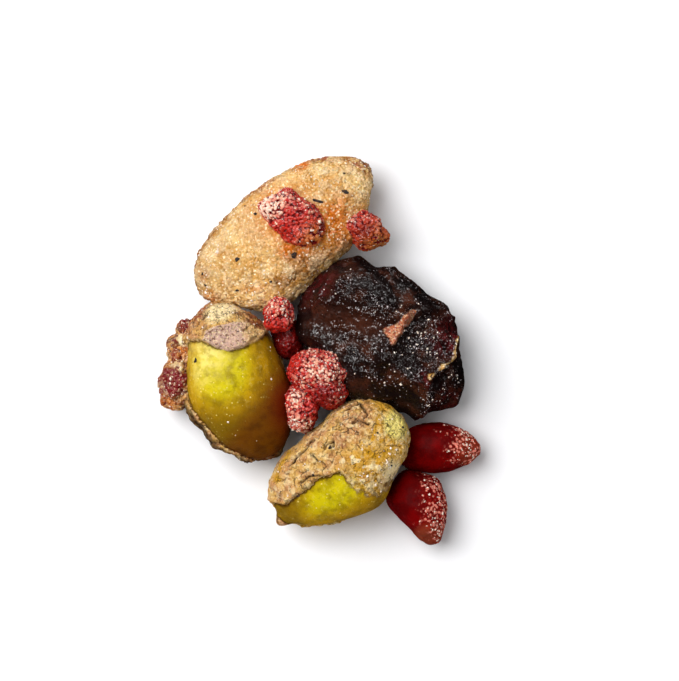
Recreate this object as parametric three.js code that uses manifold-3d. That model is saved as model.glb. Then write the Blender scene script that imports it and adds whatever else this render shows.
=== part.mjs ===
// A small heap of seasoned snack mix, as it lies on a table: two crusted pistachio kernels, a blanched
// almond, a dried dark cherry, two dried red fruit drops, sugared fruit crumbs and a clump of seasoning.
//
// Millimetres, +Z up. The origin is at the centre of the heap's bounding box, on the table. +X runs to
// the right and +Y to the far side of the heap.
//
// Every piece starts as an ellipsoid. Its plan outline is scaled by a few radii at equal steps round the
// edge, a relief of bumps, folds and crust is added along the surface normal, and what would sink into
// the table is pressed flat. Where two pieces meet, the softer one is cut back by a small gap.
import * as THREE from "three";
import { mergeVertices } from "three/addons/utils/BufferGeometryUtils.js";
import Module from "manifold-3d";

const wasm = await Module();
wasm.setup();

const GAP = 0.25; // clear space between two pieces that touch, mm
const TABLE = 0; // height of the surface that the heap lies on, mm
const CRUST = 0.5; // thickness of the seasoning crust on a pistachio, mm
const FINEST = 1.0; // the narrowest fold that the facets can show, mm

// ---------------------------------------------------------------------------------- small helpers

const fract = (x) => x - Math.floor(x);
const mix = (a, b, t) => a + (b - a) * t;
const clamp01 = (x) => Math.min(1, Math.max(0, x));
const smoothstep = (low, high, x) => {
  const t = clamp01((x - low) / (high - low));
  return t * t * (3 - 2 * t);
};

// A repeatable pseudo-random number from 0 to 1 for one lattice corner.
const corner = (i, j, k, seed) =>
  fract(Math.sin(i * 127.1 + j * 311.7 + k * 74.7 + seed * 53.3) * 43758.5453);

// Smooth value noise from -1 to 1, with cells of the given size in mm.
function noise(point, cell, seed) {
  const q = [point.x / cell, point.y / cell, point.z / cell];
  const base = q.map(Math.floor);
  const w = q.map((v, n) => {
    const t = v - base[n];
    return t * t * (3 - 2 * t);
  });
  const row = (j, k) =>
    mix(
      corner(base[0], base[1] + j, base[2] + k, seed),
      corner(base[0] + 1, base[1] + j, base[2] + k, seed),
      w[0],
    );
  const sheet = (k) => mix(row(0, k), row(1, k), w[1]);
  return 2 * mix(sheet(0), sheet(1), w[2]) - 1;
}

// A closed Catmull-Rom curve through equally spaced values round a full turn.
function around(values, angle) {
  const n = values.length;
  const s = fract(angle / (2 * Math.PI) + 1) * n;
  const i = Math.floor(s);
  const t = s - i;
  const [a, b, c, d] = [-1, 0, 1, 2].map((o) => values[(i + o + n) % n]);
  return (
    b +
    0.5 * t * (c - a + t * (2 * a - 5 * b + 4 * c - d + t * (3 * (b - c) + d - a)))
  );
}

// ---------------------------------------------------------------------------------------- reliefs

// Domes set evenly over a unit sphere by the golden angle: 1 on top of a dome, 0 between domes.
function beads(unit, count, reach, seed) {
  let best = 0;
  for (let k = 0; k < count; k++) {
    const z = 1 - (2 * k + 1) / count;
    const turn = k * 2.39996 + corner(k, seed, 3, 1) * 0.9;
    const r = Math.sqrt(1 - z * z);
    const cosine = unit.x * r * Math.cos(turn) + unit.y * r * Math.sin(turn) + unit.z * z;
    const size = reach * (0.75 + 0.5 * corner(k, seed, 5, 2));
    const far = Math.acos(Math.min(1, Math.max(-1, cosine))) / size;
    if (far < 1) best = Math.max(best, Math.sqrt(1 - far * far) * size);
  }
  return best / reach;
}

// How far a point in plan is from a fold line, given as [x, y] corners.
function awayFrom(line, x, y) {
  let best = Infinity;
  for (let n = 0; n + 1 < line.length; n++) {
    const [ax, ay] = line[n];
    const [dx, dy] = [line[n + 1][0] - ax, line[n + 1][1] - ay];
    const t = clamp01(((x - ax) * dx + (y - ay) * dy) / (dx * dx + dy * dy));
    best = Math.min(best, Math.hypot(x - ax - t * dx, y - ay - t * dy));
  }
  return best;
}

// 1 inside a turned ellipse in plan, 0 outside, with an edge made ragged by noise, on the upper side only.
function windowAt({ at, half, turn = 0, soft = 0.12, ragged = 0.14 }, point, up, seed) {
  const c = Math.cos(THREE.MathUtils.degToRad(turn));
  const s = Math.sin(THREE.MathUtils.degToRad(turn));
  const [dx, dy] = [point.x - at[0], point.y - at[1]];
  const reach = Math.hypot((dx * c + dy * s) / half[0], (dy * c - dx * s) / half[1]);
  const edge = 1 - reach + ragged * noise(point, 1.1, seed);
  return smoothstep(-soft, soft, edge) * smoothstep(-0.55, -0.2, up);
}

const bare = (windows, point, up, seed) =>
  Math.max(0, ...windows.map((w) => windowAt(w, point, up, seed)));

// Pistachio: a smooth kernel under a lumpy crust, bare in the windows and piled up in the nubs.
const crusted = (windows, nubs, seed) => (point, normal) => {
  const cover = 1 - bare(windows, point, normal.z, seed);
  const lumps = 0.22 * noise(point, 1.7, seed + 1) + 0.1 * noise(point, 0.9, seed + 2);
  let height = cover * (CRUST + lumps) + 0.22 * noise(point, 4.5, seed + 3);
  for (const { at, reach, rise } of nubs) {
    height += rise * Math.exp(-(point.distanceToSquared(at) / reach ** 2));
  }
  return height;
};

// Almond: low bumps of glaze, and a rougher ledge of crust along the side that lies against the cherry.
const ALMOND_LEDGE = { line: [[-7.6, 6.2], [-1.5, 9.4], [4.6, 13.4]], reach: 1.6, rise: 0.35 };
const glazed = (seed) => (point) => {
  const near = 1 - smoothstep(0, ALMOND_LEDGE.reach, awayFrom(ALMOND_LEDGE.line, point.x, point.y));
  const ledge = ALMOND_LEDGE.rise * near * (0.6 + 0.4 * noise(point, 1.1, seed + 3));
  const swells = 0.25 * noise(point, 5, seed) + 0.15 * noise(point, 2, seed + 1);
  return swells + 0.08 * noise(point, 1, seed + 2) + ledge;
};

// Cherry: folds as raised or sunken lines on top, hollows where the flesh has drawn in, and wrinkles
// all round.
const FOLDS = [
  { line: [[2.4, 6.8], [5.3, 5.0], [7.6, 4.2], [9.9, 3.9]], rise: 0.75, reach: 1.0 },
  { line: [[9.9, 3.9], [9.1, 1.9], [7.7, 0.2], [7.5, -1.0]], rise: 0.8, reach: 0.8 },
  { line: [[10.6, 3.1], [12.2, 3.8], [14.8, 4.3]], rise: -0.7, reach: 0.5 },
  { line: [[11.2, 2.5], [13.2, 3.1], [15.7, 3.6]], rise: 0.5, reach: 0.6 },
  { line: [[12.2, -3.3], [13.9, -1.9], [15.3, -0.8], [15.7, 1.2]], rise: 0.6, reach: 0.5 },
  { line: [[13.0, -3.9], [14.6, -2.7], [16.0, -1.8]], rise: -0.4, reach: 0.6 },
  { line: [[12.2, -3.5], [12.6, -5.2], [11.6, -7.0]], rise: 0.7, reach: 0.7 },
  { line: [[7.5, -1.0], [9.8, -2.8], [12.2, -3.6]], rise: 0.4, reach: 0.8 },
  { line: [[3.7, 8.6], [2.3, 6.6], [1.2, 5.4]], rise: 0.45, reach: 0.6 },
];
const HOLLOWS = [
  { at: [4.6, 1.6], reach: 3.4, depth: 0.9 },
  { at: [11.6, 0.3], reach: 2.6, depth: 0.9 },
  { at: [8.6, 6.6], reach: 3.0, depth: 0.45 },
  { at: [9.0, -5.2], reach: 2.6, depth: 0.6 },
  { at: [14.6, -5.0], reach: 1.8, depth: 0.6 },
];
const wrinkled = (seed) => (point, normal) => {
  const top = smoothstep(0, 0.5, normal.z);
  let height = 0;
  for (const fold of FOLDS) {
    const far = awayFrom(fold.line, point.x, point.y) / Math.max(fold.reach, FINEST);
    height += fold.rise * top * Math.exp(-(far ** 2));
  }
  for (const { at, reach, depth } of HOLLOWS) {
    const far = Math.hypot(point.x - at[0], point.y - at[1]) / reach;
    height -= depth * top * Math.exp(-(far ** 2));
  }
  const wrinkle = 1 - Math.abs(noise(point, 3.2, seed)) * 2;
  return height + (1 - 0.65 * top) * 0.55 * wrinkle + 0.12 * noise(point, 1.3, seed + 1);
};

// Fruit drop: smooth skin, with a frost of sugar bumps that thickens towards the pointed end.
const frosted = (tip, seed) => (point) => {
  const near = 1 - smoothstep(1.5, 6, Math.hypot(point.x - tip[0], point.y - tip[1]));
  return near * 0.16 * (1 + noise(point, 0.9, seed)) + 0.07 * noise(point, 1.8, seed + 1);
};

// Crumb: lumps of a few sizes, like a broken cluster of sugared fruit.
const crumbly = (count, rise, seed) => (point, normal, unit) => {
  const lumps = rise * (beads(unit, count, 2.1 / Math.sqrt(count), seed) - 0.5);
  return lumps + 0.14 * noise(point, 1.2, seed + 1);
};

// ----------------------------------------------------------------------------------------- pieces

// Where the crust is missing, as ellipses in plan, and where it is piled up.
const LEFT_WINDOWS = [
  { at: [-9.4, -5.6], half: [5.7, 6.0] },
  { at: [-11.1, 3.6], half: [2.3, 1.5], turn: 20 },
];
const RIGHT_WINDOWS = [
  { at: [2.2, -18.3], half: [5.8, 3.5], turn: 14 },
  { at: [8.0, -9.7], half: [1.5, 2.7], turn: 14 },
];
const LEFT_NUBS = [{ at: new THREE.Vector3(-14.4, -7.8, 4.6), reach: 1.9, rise: 0.9 }];
const RIGHT_NUBS = [{ at: new THREE.Vector3(-4.2, -18.9, 3.4), reach: 1.1, rise: 1.1 }];

// Of one piece: centre, mm; turn of its long axis from +X, pitch that lifts the long axis's far end and
// roll that lifts its left edge, degrees; half length, half width and half height, mm; outline, factors on
// the plan radius at equal steps from the far end; side, under 1 where the sides stand fuller than an
// ellipsoid's; detail, the number of cuts in each edge of the icosahedron.
const PIECES = [
  {
    name: "pistachio_right",
    centre: [2.6, -13.6, 5.5], turn: 40.6, pitch: 11, roll: 0, half: [9.0, 5.5, 5.1],
    outline: [0.98, 1.04, 1.08, 1.0, 1.05, 1.04, 0.97, 0.92, 0.94, 1.02, 0.95, 0.95],
    side: 0.94, detail: 9, relief: crusted(RIGHT_WINDOWS, RIGHT_NUBS, 21), material: "pistachio",
  },
  {
    name: "pistachio_left",
    centre: [-9.3, -4.2, 5.5], turn: -71.2, pitch: -10, roll: 0, half: [9.3, 5.6, 5.2],
    outline: [0.97, 1.01, 0.99, 0.96, 1.02, 1.03, 1.03, 1.0, 0.97, 1.04, 1.01, 0.97],
    side: 0.94, detail: 9, relief: crusted(LEFT_WINDOWS, LEFT_NUBS, 31), material: "pistachio",
  },
  {
    name: "almond",
    centre: [-3.7, 13.3, 4.3], turn: 38.5, pitch: 1, roll: -6, half: [12.0, 6.3, 4.5],
    outline: [1.0, 1.01, 0.99, 1.0, 1.03, 1.05, 1.0, 0.94, 1.07, 1.02, 1.0, 0.94],
    side: 0.92, detail: 8, relief: glazed(41), material: "almond",
  },
  {
    name: "dried_cherry",
    centre: [7.5, 0.7, 4.9], turn: -34.4, pitch: 0, roll: 0, half: [10.4, 7.8, 5.2],
    outline: [0.99, 0.94, 1.02, 0.98, 1.04, 1.11, 1.03, 0.92, 0.97, 0.94, 0.86, 0.97],
    side: 0.8, detail: 10, relief: wrinkled(51), material: "cherry",
  },
  {
    name: "fruit_drop_upper",
    centre: [14.0, -11.3, 2.8], turn: -3, pitch: 0, roll: 0, half: [4.45, 3.05, 3.0],
    outline: [1.0, 0.91, 0.88, 0.93, 1.0, 1.0, 1.0, 1.01, 1.02, 0.97, 0.9, 0.92],
    side: 0.95, detail: 4, relief: frosted([18.3, -11.6], 61), material: "fruit_drop",
  },
  {
    name: "fruit_drop_lower",
    centre: [11.8, -18.3, 2.9], turn: -65.9, pitch: 0, roll: 0, half: [4.4, 3.3, 3.1],
    outline: [0.99, 0.82, 0.8, 0.92, 1.07, 0.99, 1.0, 1.03, 1.06, 0.85, 0.76, 0.87],
    side: 0.95, detail: 4, relief: frosted([13.1, -22.4], 71), material: "fruit_drop",
  },
  {
    name: "fruit_crumb_middle",
    centre: [0.2, -2.9, 7.0], turn: -41.2, pitch: 0, roll: 0, half: [3.95, 3.1, 3.7],
    outline: [0.94, 0.84, 0.92, 0.96, 0.86, 0.82, 0.92, 1.0, 1.03, 0.94, 0.96, 1.08],
    side: 0.9, detail: 5, relief: crumbly(34, 0.6, 81), material: "fruit_crumb",
  },
  {
    name: "fruit_crumb_front",
    centre: [-2.0, -6.8, 6.8], turn: -83.2, pitch: 0, roll: 0, half: [2.75, 2.0, 3.2],
    outline: [0.95, 0.88, 0.87, 0.98, 0.94, 0.97, 1.0, 1.03, 1.02, 1.0, 0.9, 0.97],
    side: 0.9, detail: 4, relief: crumbly(26, 0.5, 91), material: "fruit_crumb",
  },
  {
    name: "fruit_crumb_top",
    centre: [-4.7, 4.0, 7.5], turn: 79, pitch: 0, roll: 0, half: [2.0, 1.85, 2.1],
    outline: [0.99, 0.83, 0.83, 0.97, 0.94, 0.95, 0.97, 0.97, 1.02, 0.97, 0.89, 0.96],
    side: 0.9, detail: 3, relief: crumbly(20, 0.4, 101), material: "fruit_crumb",
  },
  {
    name: "fruit_crumb_shaded",
    centre: [-3.9, 1.2, 2.9], turn: -81, pitch: 0, roll: 0, half: [2.4, 1.5, 3.2],
    outline: [0.94, 0.9, 0.92, 0.99, 1.05, 1.08, 0.99, 1.08, 1.02, 0.96, 0.95, 0.93],
    side: 0.85, detail: 3, relief: crumbly(20, 0.4, 111), material: "fruit_crumb",
  },
  {
    name: "fruit_crumb_on_almond",
    centre: [-3.4, 15.4, 8.9], turn: -34.7, pitch: 0, roll: 0, half: [3.4, 2.4, 1.8],
    outline: [0.99, 1.01, 1.08, 0.92, 1.1, 0.8, 0.86, 1.08, 0.92, 0.92, 1.1, 1.06],
    side: 0.85, detail: 4, relief: crumbly(30, 0.45, 121), material: "fruit_crumb",
  },
  {
    name: "fruit_crumb_at_edge",
    centre: [5.5, 13.5, 6.2], turn: -37, pitch: 0, roll: 0, half: [2.4, 2.2, 2.4],
    outline: [0.96, 1.05, 0.92, 0.97, 1.02, 1.04, 0.94, 0.91, 0.92, 0.98, 0.84, 0.88],
    side: 0.9, detail: 3, relief: crumbly(22, 0.45, 131), material: "fruit_crumb",
  },
  {
    name: "seasoning_clump",
    centre: [-15.7, -1.5, 3.6], turn: 82.5, pitch: 0, roll: 0, half: [5.2, 2.7, 3.7],
    outline: [0.9, 0.8, 0.84, 0.6, 0.98, 0.98, 0.98, 1.05, 1.02, 0.8, 0.8, 1.02],
    side: 0.85, detail: 5, relief: crumbly(28, 0.8, 141), material: "seasoning",
  },
];

const MATERIALS = {
  pistachio: { color: 0xc8a83a, roughness: 0.55 },
  almond: { color: 0xdcb478, roughness: 0.6 },
  cherry: { color: 0x2e1412, roughness: 0.35 },
  fruit_drop: { color: 0x7a0c0c, roughness: 0.3 },
  fruit_crumb: { color: 0xb24a3c, roughness: 0.6 },
  seasoning: { color: 0xb07a52, roughness: 0.7 },
};

// --------------------------------------------------------------------------------------- building

// The closed surface of one piece, grown outwards by a clearance.
function surfaceOf(piece, grown = 0) {
  const ball = new THREE.IcosahedronGeometry(1, piece.detail);
  ball.deleteAttribute("normal");
  ball.deleteAttribute("uv");
  const shape = mergeVertices(ball, 1e-5);
  const [a, b, c] = piece.half;
  const stance = new THREE.Matrix4().makeRotationFromEuler(
    new THREE.Euler(
      THREE.MathUtils.degToRad(piece.roll),
      THREE.MathUtils.degToRad(-piece.pitch),
      THREE.MathUtils.degToRad(piece.turn),
      "ZYX",
    ),
  );
  const centre = new THREE.Vector3(...piece.centre);
  const spots = shape.getAttribute("position");
  const unit = new THREE.Vector3();
  for (let i = 0; i < spots.count; i++) {
    unit.fromBufferAttribute(spots, i).normalize();
    const angle = Math.atan2(unit.y, unit.x);
    const out = Math.hypot(unit.x, unit.y) ** piece.side * around(piece.outline, angle);
    const point = new THREE.Vector3(a * out * Math.cos(angle), b * out * Math.sin(angle), c * unit.z);
    const normal = new THREE.Vector3(point.x / a ** 2, point.y / b ** 2, point.z / c ** 2).normalize();
    point.applyMatrix4(stance).add(centre);
    normal.applyMatrix4(stance);
    point.addScaledVector(normal, piece.relief(point, normal, unit) + grown);
    spots.setXYZ(i, point.x, point.y, Math.max(point.z, TABLE));
  }
  return shape;
}

const solidOf = (shape) =>
  new wasm.Manifold(
    new wasm.Mesh({
      numProp: 3,
      vertProperties: shape.getAttribute("position").array,
      triVerts: new Uint32Array(shape.index.array),
    }),
  );

// The largest body of a solid, without the loose scraps that a cut leaves.
const largest = (solid) => solid.decompose().sort((p, q) => q.volume() - p.volume())[0];

function geometryOf(solid) {
  const cut = solid.getMesh();
  return new THREE.BufferGeometry()
    .setAttribute("position", new THREE.BufferAttribute(new Float32Array(cut.vertProperties), 3))
    .setIndex(new THREE.BufferAttribute(new Uint32Array(cut.triVerts), 1));
}

function buildHeap() {
  const heap = new THREE.Group();
  const earlier = [];
  for (const piece of PIECES) {
    let solid = solidOf(surfaceOf(piece));
    for (const grown of earlier) {
      if (solid.intersect(grown).volume() > 0) solid = largest(solid.subtract(grown));
    }
    earlier.push(solidOf(surfaceOf(piece, GAP)));
    const material = new THREE.MeshStandardMaterial({ ...MATERIALS[piece.material], metalness: 0 });
    const mesh = new THREE.Mesh(geometryOf(solid), material);
    mesh.geometry.computeVertexNormals();
    mesh.name = piece.name;
    heap.add(mesh);
  }
  return heap;
}

export default buildHeap();
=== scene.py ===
"""Looks of a small heap of seasoned snack mix: two crusted pistachio kernels, a glazed almond, a dark dried
cherry, two red fruit drops, sugared fruit crumbs and a clump of seasoning, lying on a pale floor.

Shapes are worked out in millimetres and put into meshes in metres, in the frame of the solids.
"""

import math

import bpy
import numpy as np
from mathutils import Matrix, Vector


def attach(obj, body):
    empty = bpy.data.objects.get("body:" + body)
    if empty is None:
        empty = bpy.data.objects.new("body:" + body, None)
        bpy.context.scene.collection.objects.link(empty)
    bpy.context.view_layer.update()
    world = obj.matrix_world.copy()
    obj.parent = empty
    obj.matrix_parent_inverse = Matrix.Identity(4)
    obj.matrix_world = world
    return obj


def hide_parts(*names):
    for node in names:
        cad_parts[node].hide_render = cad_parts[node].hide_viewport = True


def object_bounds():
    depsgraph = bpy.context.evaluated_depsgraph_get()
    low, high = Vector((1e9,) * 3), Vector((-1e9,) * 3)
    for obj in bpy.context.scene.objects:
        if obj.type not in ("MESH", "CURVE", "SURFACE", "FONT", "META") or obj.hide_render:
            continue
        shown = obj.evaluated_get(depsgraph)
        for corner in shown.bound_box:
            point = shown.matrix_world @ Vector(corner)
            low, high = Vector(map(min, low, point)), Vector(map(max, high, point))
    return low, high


bl_info = {
    "name": "Snack mix heap",
    "version": (1, 0, 0),
    "blender": (4, 5, 0),
    "location": "View3D > Sidebar > Snack mix",
    "description": "Builds a small heap of seasoned nuts and dried fruit",
    "category": "Add Mesh",
}

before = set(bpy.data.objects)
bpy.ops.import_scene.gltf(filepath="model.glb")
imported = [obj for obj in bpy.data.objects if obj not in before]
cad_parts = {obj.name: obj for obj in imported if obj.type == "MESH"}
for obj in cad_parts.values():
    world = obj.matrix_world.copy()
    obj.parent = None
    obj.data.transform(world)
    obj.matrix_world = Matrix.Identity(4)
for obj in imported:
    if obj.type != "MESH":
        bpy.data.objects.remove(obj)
CAD_LOW, CAD_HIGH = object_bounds()

MM = 0.001  # metres in a millimetre
FLOOR_Z = 0.0


# ---- settings


def linear(red, green, blue):
    """A colour given as 0-255 display values, as the linear values that shaders use."""
    out = []
    for value in (red, green, blue):
        s = value / 255
        out.append(s / 12.92 if s <= 0.04045 else ((s + 0.055) / 1.055) ** 2.4)
    return tuple(out)


def tint(label, text, red, green, blue):
    """A colour property with its default given as display values."""
    return bpy.props.FloatVectorProperty(
        name=label,
        description=text,
        subtype="COLOR",
        size=3,
        min=0.0,
        max=1.0,
        default=linear(red, green, blue),
    )


def length(label, text, millimetres):
    """A length property with its default given in millimetres."""
    return bpy.props.FloatProperty(
        name=label,
        description=text,
        unit="LENGTH",
        min=0.0,
        precision=5,
        default=millimetres * MM,
    )


class SnackMixColours(bpy.types.PropertyGroup):
    """Colours of the pieces, as they look in plain daylight. Some of them are also used to paint shade,
    shadows, highlights and red bounce light on the pieces, as said where they are used.
    """

    kernel_green: tint("Kernel green", "Bare pistachio kernel where it is brightest", 206, 188, 4)
    kernel_gold: tint("Kernel gold", "Bare pistachio kernel away from its green heart", 186, 140, 4)
    # kernel_olive, mixed with kernel_red, also paints shade on the side of a kernel that faces away from the
    # light.
    kernel_olive: tint("Kernel olive", "Bare pistachio kernel near its far rim", 110, 60, 3)
    # Besides the mottling, this colour paints shade on each kernel towards its -y end, where the shade mark
    # is.
    kernel_shade: tint("Kernel shade", "Darker mottling of a bare pistachio kernel", 108, 80, 3)
    # This colour also paints a highlight on the left kernel's lit side.
    kernel_pale: tint("Kernel pale", "Pale streaks and tip of a pistachio kernel", 240, 222, 124)
    # kernel_red also paints the shadow beside the crust's lifted edge and, with kernel_olive, shade on a
    # kernel's far side.
    kernel_red: tint("Kernel red", "Dark seam under the crust's edge", 62, 26, 4)
    skin_grey: tint("Skin grey", "Thin kernel skin at the flake's left end", 206, 168, 150)
    crust_tan: tint("Crust tan", "Seasoning crust on a pistachio", 212, 166, 92)
    crust_pink: tint("Crust pink", "Kernel skin that shows through the crust", 196, 142, 92)
    crust_cream: tint("Crust cream", "Lightest grains of the crust", 246, 224, 172)
    crust_rust: tint("Crust rust", "Ruddy brown grains", 142, 66, 40)
    crust_dark: tint("Crust dark", "Cracks and the shaded rim of the crust", 54, 32, 14)
    # This colour also paints shade in the crevices between the crust's granules.
    crust_brown: tint("Crust brown", "Crevices of the crust", 92, 52, 18)
    glaze_gold: tint("Glaze gold", "Thin golden glaze on the right kernel", 206, 150, 22)
    glaze_light: tint("Glaze light", "Almond glaze where it is thin", 234, 190, 120)
    glaze_warm: tint("Glaze warm", "Almond glaze where it is thick", 210, 154, 76)
    glaze_amber: tint("Glaze amber", "Thin hollows between the glaze's grains", 170, 104, 44)
    # glaze_cream also paints highlights on the crowns of the glaze's small granules.
    glaze_cream: tint("Glaze cream", "Pale grains of the almond glaze", 250, 228, 184)
    glaze_clear: tint("Glaze clear", "Half-clear lumps of sugar in the glaze", 238, 214, 172)
    # glaze_brown also paints shade round the almond's edge and the crumb's shadow beside it.
    glaze_brown: tint("Glaze brown", "Rough glaze along the almond's side", 132, 74, 24)
    glaze_orange: tint("Glaze orange", "Stains of fruit juice in the glaze", 206, 108, 20)
    cherry_black: tint("Cherry black", "Dried cherry skin", 20, 9, 8)
    cherry_brown: tint("Cherry brown", "Cherry skin where it is thin", 70, 33, 19)
    cherry_ruby: tint("Cherry ruby", "Cherry flesh where light shines through", 84, 12, 14)
    cherry_rust: tint("Cherry rust", "Torn flake of cherry skin", 190, 98, 58)
    # This colour also paints glints on the cherry as white specks.
    sugar_dust_and_glints: tint("Sugar dust", "Fine sugar on dark skin", 236, 226, 228)
    drop_red: tint("Drop red", "Translucent red fruit", 106, 1, 2)
    drop_dark: tint("Drop dark", "Red fruit where it is thick", 82, 1, 2)
    frost_pink: tint("Frost pink", "Sugar frost on red fruit", 230, 138, 120)
    # crumb_deep also paints shade on crumbs out of the light and the red bounce on the left kernel.
    crumb_deep: tint("Crumb deep", "Crevices between granules of a fruit crumb", 112, 4, 6)
    crumb_red: tint("Crumb red", "Granules of a fruit crumb", 198, 38, 28)
    crumb_pink: tint("Crumb pink", "Sugared granules of a fruit crumb", 244, 180, 150)
    clump_tan: tint("Clump tan", "Granules of the seasoning clump", 206, 146, 76)
    clump_brown: tint("Clump brown", "Dark granules of the seasoning clump", 112, 58, 30)
    clump_red: tint("Clump red", "Red granules at the clump's heart", 128, 14, 18)
    pepper: tint("Pepper", "Pepper flecks", 28, 20, 16)
    sugar: tint("Sugar", "Sugar crystals", 246, 232, 214)
    floor: tint("Floor", "Pale floor under the heap", 244, 244, 246)


class SnackMixSizes(bpy.types.PropertyGroup):
    """Sizes of the fine relief."""

    crust: length("Crust", "Thickness of the crust on a pistachio", 0.42)
    skin: length("Skin", "Thickness of the skin flake on the left kernel", 0.15)
    crumb_grain: length("Crumb granule", "Width of a granule on a fruit crumb", 0.34)
    glaze_grain: length("Glaze granule", "Width of a granule in the almond's glaze", 0.55)
    clump_grain: length("Clump granule", "Width of a granule in the seasoning clump", 0.95)
    crystal: length("Sugar crystal", "Usual width of a sugar crystal", 0.17)


def colours():
    """The colours as the panel has them now."""
    return bpy.context.scene.snack_mix_colours


def sizes():
    """The sizes as the panel has them now, in metres."""
    return bpy.context.scene.snack_mix_sizes


# ---- small helpers


def smoothstep(low, high, x):
    """0 below low, 1 above high, and a smooth cubic between."""
    t = np.clip((x - low) / (high - low), 0.0, 1.0)
    return t * t * (3 - 2 * t)


def corner(cell, seed):
    """A repeatable pseudo-random number from 0 to 1 for each lattice corner, from the sine of its place."""
    s = np.sin(cell[:, 0] * 127.1 + cell[:, 1] * 311.7 + cell[:, 2] * 74.7 + seed * 53.3) * 43758.5453
    return s - np.floor(s)


def noise(points, cell, seed):
    """Smooth value noise from -1 to 1: the eight corners round each point, blended by cubic weights."""
    q = points / cell
    base = np.floor(q)
    t = q - base
    w = t * t * (3 - 2 * t)
    total = np.zeros(len(points))
    for step in np.ndindex(2, 2, 2):
        share = np.prod(np.where(step, w, 1 - w), axis=1)
        total += share * corner(base + step, seed)
    return 2 * total - 1


def granules(points, width, seed):
    """Packed domes. Each lattice cell holds one centre at a random place in it, and the height is a half
    ellipse of the distance to the nearest centre. Gives the height and each dome's own random number."""
    q = points / width
    base = np.floor(q)
    nearest = np.full(len(points), 9.0)
    own = np.zeros(len(points))
    for step in np.ndindex(3, 3, 3):
        cell = base + np.array(step) - 1
        centre = cell + np.stack([corner(cell, seed + n) for n in (0.1, 0.2, 0.3)], axis=1)
        gap = ((q - centre) ** 2).sum(axis=1)
        closer = gap < nearest
        nearest = np.where(closer, gap, nearest)
        own = np.where(closer, corner(cell, seed + 0.4), own)
    return np.sqrt(np.clip(1 - nearest / 0.75, 0, 1)), own


def around(values, angle):
    """A closed Catmull-Rom curve through equally spaced values round a full turn."""
    values = np.array(values)
    n = len(values)
    s = np.mod(angle / (2 * np.pi), 1.0) * n
    i = np.floor(s).astype(int) % n
    t = s - np.floor(s)
    a, b, c, d = (values[(i + o) % n] for o in (-1, 0, 1, 2))
    return b + 0.5 * t * (c - a + t * (2 * a - 5 * b + 4 * c - d + t * (3 * (b - c) + d - a)))


def away_from(line, points):
    """Distance in plan from a line through [x, y] corners."""
    best = np.full(len(points), np.inf)
    x, y = points[:, :2].T
    for (ax, ay), (bx, by) in zip(line, line[1:]):
        dx, dy = bx - ax, by - ay
        t = np.clip(((x - ax) * dx + (y - ay) * dy) / (dx * dx + dy * dy), 0, 1)
        best = np.minimum(best, np.hypot(x - ax - t * dx, y - ay - t * dy))
    return best


def spot(points, at, half, turn=0.0):
    """How far out a point lies from a turned ellipse's centre in plan, 1 on its edge."""
    c, s = math.cos(math.radians(turn)), math.sin(math.radians(turn))
    dx, dy = points[:, 0] - at[0], points[:, 1] - at[1]
    return np.hypot((dx * c + dy * s) / half[0], (dy * c - dx * s) / half[1])


def bell(x):
    """Bell curve: 1 at 0, falling smoothly to nothing on both sides."""
    return np.exp(-(x**2))


def glow(points, at, half, turn=0.0):
    """A soft spot: 1 at the centre of a turned ellipse, falling as a bell curve."""
    return bell(spot(points, at, half, turn))


def glows(points, *rows):
    """Sum of soft spots. Each row gives strength, x, y, two half sizes and, where it is turned, degrees."""
    return sum(row[0] * glow(points, row[1:3], row[3:5], *row[5:]) for row in rows)


# ---- pieces

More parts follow.
